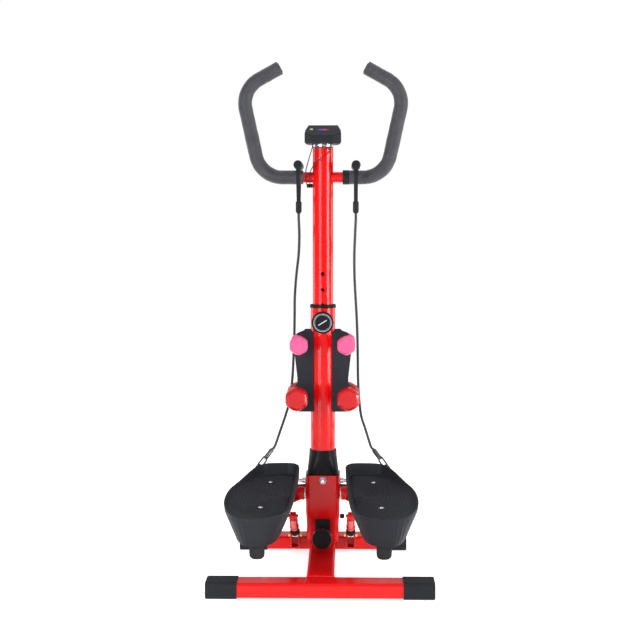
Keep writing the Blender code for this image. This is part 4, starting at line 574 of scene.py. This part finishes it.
def makeRopes():
    cover = makeBraid()
    for hand, side in (("left", -1), ("right", 1)):
        path = ropePath(hand, side)
        cut = min(i for i, point in enumerate(path) if point.z < rope["joinAbove"])
        bend = min(i for i, point in enumerate(path) if point.z < rope["bendBelow"])
        for part, points, bodies, ends in (
            ("upper", path[: cut + 1], ("mast_top", "base"), (path[0] - Vector((0, 0, 0.02)), path[cut])),
            ("lower", path[cut:], ("base", f"pedal_assembly_{hand}"), (path[bend], path[-3])),
        ):
            radii = [rope["radius"]] * len(points)
            piece = tubeAlong(f"rope_{hand}_{part}", points, radii, rope["sides"])
            piece.data.materials.append(cover)
            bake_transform(piece)
            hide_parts(f"rope_{hand}")


makeRopes()
print("ropes are hung")

# thin leads from the console to the plug under the bar
leads = {
    "radius": 0.0011,
    "spacing": 0.0025,
    "sides": 12,
    "pulse_wire": [(-0.0230, 0.1470, 0.9662), (-0.0250, 0.1450, 0.9560), (-0.0290, 0.1430, 0.9430),
                   (-0.0330, 0.1430, 0.9290), (-0.0370, 0.1460, 0.9160), (-0.0395, 0.1500, 0.9060),
                   (-0.0400, 0.1514, 0.8980), (-0.0400, 0.1516, 0.8880), (-0.0390, 0.1530, 0.8780),
                   (-0.0365, 0.1570, 0.8715), (-0.0320, 0.1620, 0.8692), (-0.0247, 0.1640, 0.8688)],
    "sensor_wire": [(0.0200, 0.1390, 0.9662), (0.0190, 0.1370, 0.9560), (0.0110, 0.1350, 0.9440),
                    (-0.0030, 0.1350, 0.9330), (-0.0170, 0.1380, 0.9230), (-0.0255, 0.1450, 0.9100),
                    (-0.0290, 0.1500, 0.9030), (-0.0302, 0.1514, 0.8970), (-0.0305, 0.1516, 0.8880),
                    (-0.0304, 0.1530, 0.8790), (-0.0298, 0.1565, 0.8738), (-0.0282, 0.1602, 0.8721),
                    (-0.0247, 0.1625, 0.8718)],
}


def makeLeads():
    for node in ("pulse_wire", "sensor_wire"):
        path = smoothLine(leads[node], leads["spacing"])
        piece = tubeAlong(f"{node}_lead", path, [leads["radius"]] * len(path), leads["sides"])
        piece.data.materials.append(finish["wire"])
        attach(piece, "mast_top")
        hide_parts(node)


makeLeads()
print("leads are run")


# small turned, moulded and welded pieces
def settle(piece, body, look, smooth=40):
    makeActive(piece)
    bpy.ops.object.transform_apply(location=True, rotation=True, scale=True)
    bpy.ops.object.mode_set(mode="EDIT")
    bpy.ops.mesh.select_all(action="SELECT")
    bpy.ops.mesh.normals_make_consistent(inside=False)
    bpy.ops.object.mode_set(mode="OBJECT")
    bpy.ops.object.shade_smooth_by_angle(angle=math.radians(smooth))
    piece.data.materials.clear()
    piece.data.materials.append(look)
    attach(piece, body)
    return piece


def softenEdges(piece, width, segments):
    makeActive(piece)
    bevel = piece.modifiers.new("softEdge", "BEVEL")
    bevel.width = width
    bevel.segments = segments
    bevel.limit_method = "ANGLE"
    bevel.angle_limit = math.radians(35)
    bpy.ops.object.modifier_apply(modifier="softEdge")


def selectFaces(piece, wanted):
    makeActive(piece)
    bpy.ops.object.mode_set(mode="EDIT")
    bpy.ops.mesh.select_mode(type="FACE")
    bpy.ops.mesh.select_all(action="DESELECT")
    bpy.ops.object.mode_set(mode="OBJECT")
    for face in piece.data.polygons:
        face.select = wanted(face)
    bpy.ops.object.mode_set(mode="EDIT")


def makeDisc(name, centre, axis, radius, depth, edge, vertices=40, dish=0.0):
    deselectAll()
    turn = Vector(axis).to_track_quat("Z", "Y").to_euler()
    bpy.ops.mesh.primitive_cylinder_add(
        vertices=vertices, radius=radius, depth=depth, location=centre, rotation=turn
    )
    disc = bpy.context.object
    disc.name = name
    if dish:
        selectFaces(disc, lambda face: face.normal.z > 0.9)
        bpy.ops.mesh.inset(thickness=radius * 0.28)
        bpy.ops.transform.translate(value=Vector(axis).normalized() * -dish)
        bpy.ops.object.mode_set(mode="OBJECT")
    softenEdges(disc, edge, 2)
    return disc


def makeBlock(name, centre, size, turn, edge):
    deselectAll()
    bpy.ops.mesh.primitive_cube_add(size=1, location=centre, rotation=turn, scale=size)
    block = bpy.context.object
    block.name = name
    bpy.ops.object.transform_apply(location=False, rotation=False, scale=True)
    softenEdges(block, edge, 3)
    return block


def joinPieces(pieces, name):
    deselectAll()
    for piece in pieces:
        piece.select_set(True)
    bpy.context.view_layer.objects.active = pieces[0]
    bpy.ops.object.join()
    pieces[0].name = name
    return pieces[0]


# foam on the horns
foam = {
    "start": 0.046,
    "barZ": 0.890,
    "y": 0.167,
    "elbow": (0.1457, 0.890),
    "shoulder": (0.1906, 1.0942),
    "tip": (0.1004, 1.144),
    "bend": 0.063,
    "radius": 0.0163,
    "bandLength": 0.0155,
    "bandRadius": 0.0168,
    "creases": (0.118, 0.142, 0.318, 0.338),
    "creaseDepth": 0.0004,
    "creaseRun": 0.0022,
    "spacing": 0.0022,
    "lumps": ((0.00012, 190), (0.00010, 83)),  # height, turns along the run
    "endRun": 0.0022,
    "endRound": 0.0012,
    "plug": (0.0115, 0.0018, 0.0006),  # radius, depth, edge
}


def makeFoam():
    for hand, side in (("left", -1), ("right", 1)):
        corners = [(side * foam["start"], foam["y"], foam["barZ"])]
        for x, z in (foam["elbow"], foam["shoulder"], foam["tip"]):
            corners.append((side * x, foam["y"], z))
        path = spread(roundedPath(corners, foam["bend"], 40), foam["spacing"])
        radii, run = [], 0.0
        (coarse, coarseTurns), (fine, fineTurns) = foam["lumps"]
        total = sum((q - p).length for p, q in zip(path, path[1:]))
        for i, point in enumerate(path):
            if i:
                run += (point - path[i - 1]).length
            lump = coarse * math.sin(run * coarseTurns + side) + fine * math.sin(run * fineTurns)
            pinch = sum(math.exp(-(((run - at) / foam["creaseRun"]) ** 2)) for at in foam["creases"])
            shoulder = min(1.0, min(run, total - run) / foam["endRun"])
            radius = foam["radius"] - foam["endRound"] * (1 - shoulder) ** 2
            radii.append(radius + lump - foam["creaseDepth"] * pinch)
        piece = tubeAlong(f"foam_{hand}", path, radii, 40)
        settle(piece, "mast_top", finish["foam"], 50)
        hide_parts(f"grip_{hand}")
        away = (path[-1] - path[-2]).normalized()
        plug = makeDisc(f"horn_plug_{hand}", path[-1] + away * 0.0006, away, *foam["plug"], 40, 0.0006)
        settle(plug, "mast_top", finish["rubber"])
    band = makeDisc(
        "foam_band", (foam["start"] + foam["bandLength"] / 2, foam["y"], foam["barZ"]), (1, 0, 0),
        foam["bandRadius"], foam["bandLength"], 0.0006, 48,
    )
    settle(band, "mast_top", finish["handle_plastic"])


makeFoam()
print("foam is on the horns")


# dial on the pull knob
dial = {
    "ring": 0.0205,
    "line": 0.0004,
    "ticks": 44,
    "tick": (0.0007, 0.0004, 0.0026),
    "tickIn": 0.0018,
    "bar": (0.0235, 0.0006, 0.0019),
    "slant": 32,
}


def makeDial():
    low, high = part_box("pin_knob")
    centre = Vector(((low.x + high.x) / 2, low.y - 0.0001, (low.z + high.z) / 2))
    deselectAll()
    bpy.ops.mesh.primitive_torus_add(
        major_radius=dial["ring"], minor_radius=dial["line"], major_segments=72, minor_segments=6,
        location=centre, rotation=(math.radians(90), 0, 0),
    )
    ring = bpy.context.object
    tickAt = centre + Vector((0, 0, dial["ring"] - dial["tickIn"]))
    ticks = makeBlock("ticks", tickAt, dial["tick"], (0, 0, 0), 0.0001)
    makeActive(ticks)
    bpy.ops.object.transform_apply(location=True, rotation=True, scale=True)
    bpy.ops.object.mode_set(mode="EDIT")
    bpy.ops.mesh.select_all(action="SELECT")
    turn = math.tau * (dial["ticks"] - 1) / dial["ticks"]
    bpy.ops.mesh.spin(steps=dial["ticks"] - 1, dupli=True, angle=turn, center=centre, axis=(0, 1, 0))
    bpy.ops.object.mode_set(mode="OBJECT")
    slant = (0, -math.radians(dial["slant"]), 0)
    bar = makeBlock("bar", centre, dial["bar"], slant, 0.0002)
    for piece in (ring, bar):
        makeActive(piece)
        bpy.ops.object.transform_apply(location=True, rotation=True, scale=True)
    dialPiece = joinPieces([ring, ticks, bar], "knob_dial")
    settle(dialPiece, "pull_pin", finish["dial"])


finish["dial"] = makeFinish("dialPrint", {
    "light": (0.62, 0.66, 0.72), "dark": (0.46, 0.50, 0.56), "rough": (0.30, 0.45), "grain": 1200, "bump": 0.05,
    "patchSize": 120})
makeDial()
print("dial is on the knob")


# ribs moulded in the treads
tread = {
    "centreX": 0.098,
    "centreY": -0.042,
    "stretchY": 1.3,
    "first": 0.010,
    "pitch": 0.0078,
    "rings": 13,
    "rib": 0.0016,
    "margin": 0.004,
    "level": 0.0015,
    "castFrom": 0.4,
    "recess": (0.0058, 0.0011, 0.0008),
}


def onTread(tree, x, y):
    reach = tread["margin"]
    for dx, dy in ((0, 0), (reach, 0), (-reach, 0), (0, reach), (0, -reach)):
        hit = tree.ray_cast(Vector((x + dx, y + dy, tread["castFrom"])), Vector((0, 0, -1)))[0]
        if hit is None or abs(hit.z - treadZ(y + dy)) > tread["level"]:
            return False
    return True


def makeRibs():
    for hand, side in (("left", -1), ("right", 1)):
        pedal = nodes[f"pedal_{hand}"]
        places = [vertex.co for vertex in pedal.data.vertices]
        tree = BVHTree.FromPolygons(places, [face.vertices for face in pedal.data.polygons])
        rings = []
        for i in range(tread["rings"]):
            deselectAll()
            bpy.ops.mesh.primitive_torus_add(
                major_radius=tread["first"] + i * tread["pitch"], minor_radius=tread["rib"], major_segments=96,
                minor_segments=8, location=(side * tread["centreX"], tread["centreY"], 0),
            )
            ring = bpy.context.object
            bpy.ops.transform.resize(value=(1, tread["stretchY"], 1))
            bpy.ops.object.transform_apply(location=True, rotation=True, scale=True)
            kept = 0
            bpy.ops.object.mode_set(mode="EDIT")
            bpy.ops.mesh.select_mode(type="VERT")
            bpy.ops.mesh.select_all(action="DESELECT")
            bpy.ops.object.mode_set(mode="OBJECT")
            for vertex in ring.data.vertices:
                here = onTread(tree, vertex.co.x, vertex.co.y)
                vertex.select = not here
                kept += here
                vertex.co.z += treadZ(vertex.co.y)
            if not kept:
                bpy.data.objects.remove(ring)
                continue
            bpy.ops.object.mode_set(mode="EDIT")
            bpy.ops.mesh.delete(type="VERT")
            bpy.ops.mesh.select_all(action="SELECT")
            bpy.ops.mesh.fill_holes(sides=12)
            bpy.ops.object.mode_set(mode="OBJECT")
            rings.append(ring)
        print(hand, "tread takes", len(rings), "ribs")
        if rings:
            settle(joinPieces(rings, f"tread_ribs_{hand}"), f"pedal_assembly_{hand}",
                   finish["pedal_plastic"])
        for end in ("toe", "heel"):
            low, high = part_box(f"pedal_screw_{hand}_{end}")
            top = Vector(((low.x + high.x) / 2, (low.y + high.y) / 2, high.z))
            arms = []
            for turn in (0, 90):
                tilt = (treadPlane["slope"], 0, math.radians(turn))
                arms.append(makeBlock("arm", top, tread["recess"], tilt, 0.0001))
            settle(joinPieces(arms, f"screw_recess_{hand}_{end}"), f"pedal_assembly_{hand}",
                   finish["dark_steel"])


makeRibs()
print("treads are ribbed")


# weld beads and tube plugs
weld = {
    "radius": 0.0017,
    "ripple": 0.0004,
    "rippleRun": 0.0042,
    "spacing": 0.0012,
    "turn": 0.004,
    "lift": 0.0003,
}
armPlug = {
    "heel": (0.136144, -0.177, 0.1122),
    "heading": (-0.0822, 1, 0.09625),
    "size": (0.0345, 0.0024, 0.0225),
    "edge": 0.0009,
}


def makeBead(name, corners, body):
    path = spread(roundedPath(corners, weld["turn"], 12), weld["spacing"])
    radii = []
    for i in range(len(path)):
        end = min(i, len(path) - 1 - i)
        swell = weld["radius"] + weld["ripple"] * math.sin(i * weld["spacing"] / weld["rippleRun"] * math.tau)
        radii.append(swell * min(1.0, 0.35 + 0.2 * end))
    bead = tubeAlong(name, path, radii, 10)
    return settle(bead, body, finish["red_paint"], 60)


def makeWelds():
    low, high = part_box("column")
    foot = low.z + weld["lift"]
    half = (high.x - low.x) / 2 - 0.0028  # the column's foot is a little narrower than its head
    makeBead("column_weld_front", [(-half, low.y, foot), (half, low.y, foot)], "base")
    makeBead("column_weld_back", [(-0.029, high.y, foot), (0.029, high.y, foot)], "base")
    spineLow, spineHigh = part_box("spine_tube")
    for name, y in (("near", spineLow.y), ("far", spineHigh.y)):
        top = spineHigh.z
        makeBead(
            f"spine_weld_{name}",
            [(spineLow.x, y, spineLow.z + 0.002), (spineLow.x, y, top), (spineHigh.x, y, top),
             (spineHigh.x, y, spineLow.z + 0.002)],
            "base",
        )


def makeArmPlugs():
    heading = Vector(armPlug["heading"]).normalized()
    heelX, heelY, heelZ = armPlug["heel"]
    for hand, side in (("left", -1), ("right", 1)):
        along = Vector((side * heading.x, heading.y, heading.z))
        heel = Vector((side * heelX, heelY, heelZ))
        turn = along.to_track_quat("Y", "Z").to_euler()
        plug = makeBlock(f"arm_plug_{hand}", heel - along * 0.0006, armPlug["size"], turn, armPlug["edge"])
        settle(plug, f"pedal_assembly_{hand}", finish["cap_plastic"])


makeWelds()
makeArmPlugs()
print("welds and plugs are in")


# console fittings
consoleFit = {
    "screwX": (-0.0135, 0.0, 0.0135),
    "screw": (0.0034, 0.0024, 0.0007),  # radius, depth, edge
    "plugAt": (-0.0310, 0.1650, 0.8704),
    "plug": (0.0046, 0.0140, 0.0010),
    "grommet": (0.0022, 0.0022, 0.0004),
}


def makeConsoleFit():
    low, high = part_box("console_bracket")
    heads = []
    for x in consoleFit["screwX"]:
        place = (x, low.y - 0.0008, (low.z + high.z) / 2)
        heads.append(makeDisc("head", place, (0, -1, 0), *consoleFit["screw"], 24, 0.0005))
    for head in heads:
        makeActive(head)
        bpy.ops.object.transform_apply(location=True, rotation=True, scale=True)
    settle(joinPieces(heads, "bracket_screws"), "mast_top", finish["dark_steel"])
    plug = makeDisc("lead_plug", consoleFit["plugAt"], (1, 0, 0), *consoleFit["plug"], 32)
    settle(plug, "mast_top", finish["knob_plastic"])
    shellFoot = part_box("console_shell")[0].z
    for node in ("pulse_wire", "sensor_wire"):
        x, y, z = leads[node][0]
        grommet = makeDisc(f"{node}_grommet", (x, y, shellFoot), (0, 0, -1), *consoleFit["grommet"], 24)
        settle(grommet, "mast_top", finish["rubber"])


makeConsoleFit()
print("console is fitted")

# grip of the tension knob, and the rubber boots at the feet of the dampers
knobCap = {
    "radius": 0.0226,
    "depth": 0.0205,
    "proud": 0.0008,
    "edge": 0.0030,
    "lobes": 12,
    "fluteIn": 0.0011,
    "rim": 0.0006,
    "lip": 0.0035,
    "dish": 0.0012,
    "frontArea": 0.0005,
}
boot = {
    "start": 0.0168,
    "length": 0.0115,
    "radius": 0.0112,
    "edge": 0.0022,
    "dish": 0.001,
    "foot": (0.066, 0.158, 0.0445),
    "along": (0, -0.8672, 0.4980),
}


def makeKnobCap():
    low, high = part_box("tension_knob")
    axis = Vector(((low.x + high.x) / 2, 0, (low.z + high.z) / 2))
    centre = axis + Vector((0, low.y - knobCap["proud"] + knobCap["depth"] / 2, 0))
    deselectAll()
    bpy.ops.mesh.primitive_cylinder_add(
        vertices=knobCap["lobes"] * 4, radius=knobCap["radius"], depth=knobCap["depth"], location=centre,
        rotation=(math.radians(90), 0, 0),
    )
    cap = bpy.context.object
    cap.name = "tension_knob_grip"
    bpy.ops.object.transform_apply(location=True, rotation=True, scale=True)
    softenEdges(cap, knobCap["edge"], 4)

    def inFlute(face):
        out = face.center - centre
        step = round(math.atan2(out.z, out.x) / math.tau * knobCap["lobes"] * 4 - 0.5)
        return abs(face.normal.y) < 0.05 and step % 4 in (0, 1)

    selectFaces(cap, inFlute)
    bpy.ops.mesh.inset(thickness=knobCap["rim"], depth=-knobCap["fluteIn"])
    bpy.ops.object.mode_set(mode="OBJECT")
    selectFaces(cap, lambda face: face.normal.y < -0.95 and face.area > knobCap["frontArea"])
    bpy.ops.mesh.inset(thickness=knobCap["lip"], depth=-knobCap["dish"])
    bpy.ops.object.mode_set(mode="OBJECT")
    settle(cap, "tension_screw", finish["knob_plastic"], 50)


def makeBoots():
    along = Vector(boot["along"])
    for hand, side in (("left", -1), ("right", 1)):
        footX, footY, footZ = boot["foot"]
        foot = Vector((side * footX, footY, footZ))
        middle = foot + along * (boot["start"] + boot["length"] / 2)
        size = boot["radius"], boot["length"], boot["edge"]
        sleeve = makeDisc(f"damper_boot_{hand}", middle, tuple(along), *size, 32, boot["dish"])
        settle(sleeve, f"damper_rod_unit_{hand}", finish["rubber"])


makeKnobCap()
makeBoots()
print("knob grip and damper boots are on")
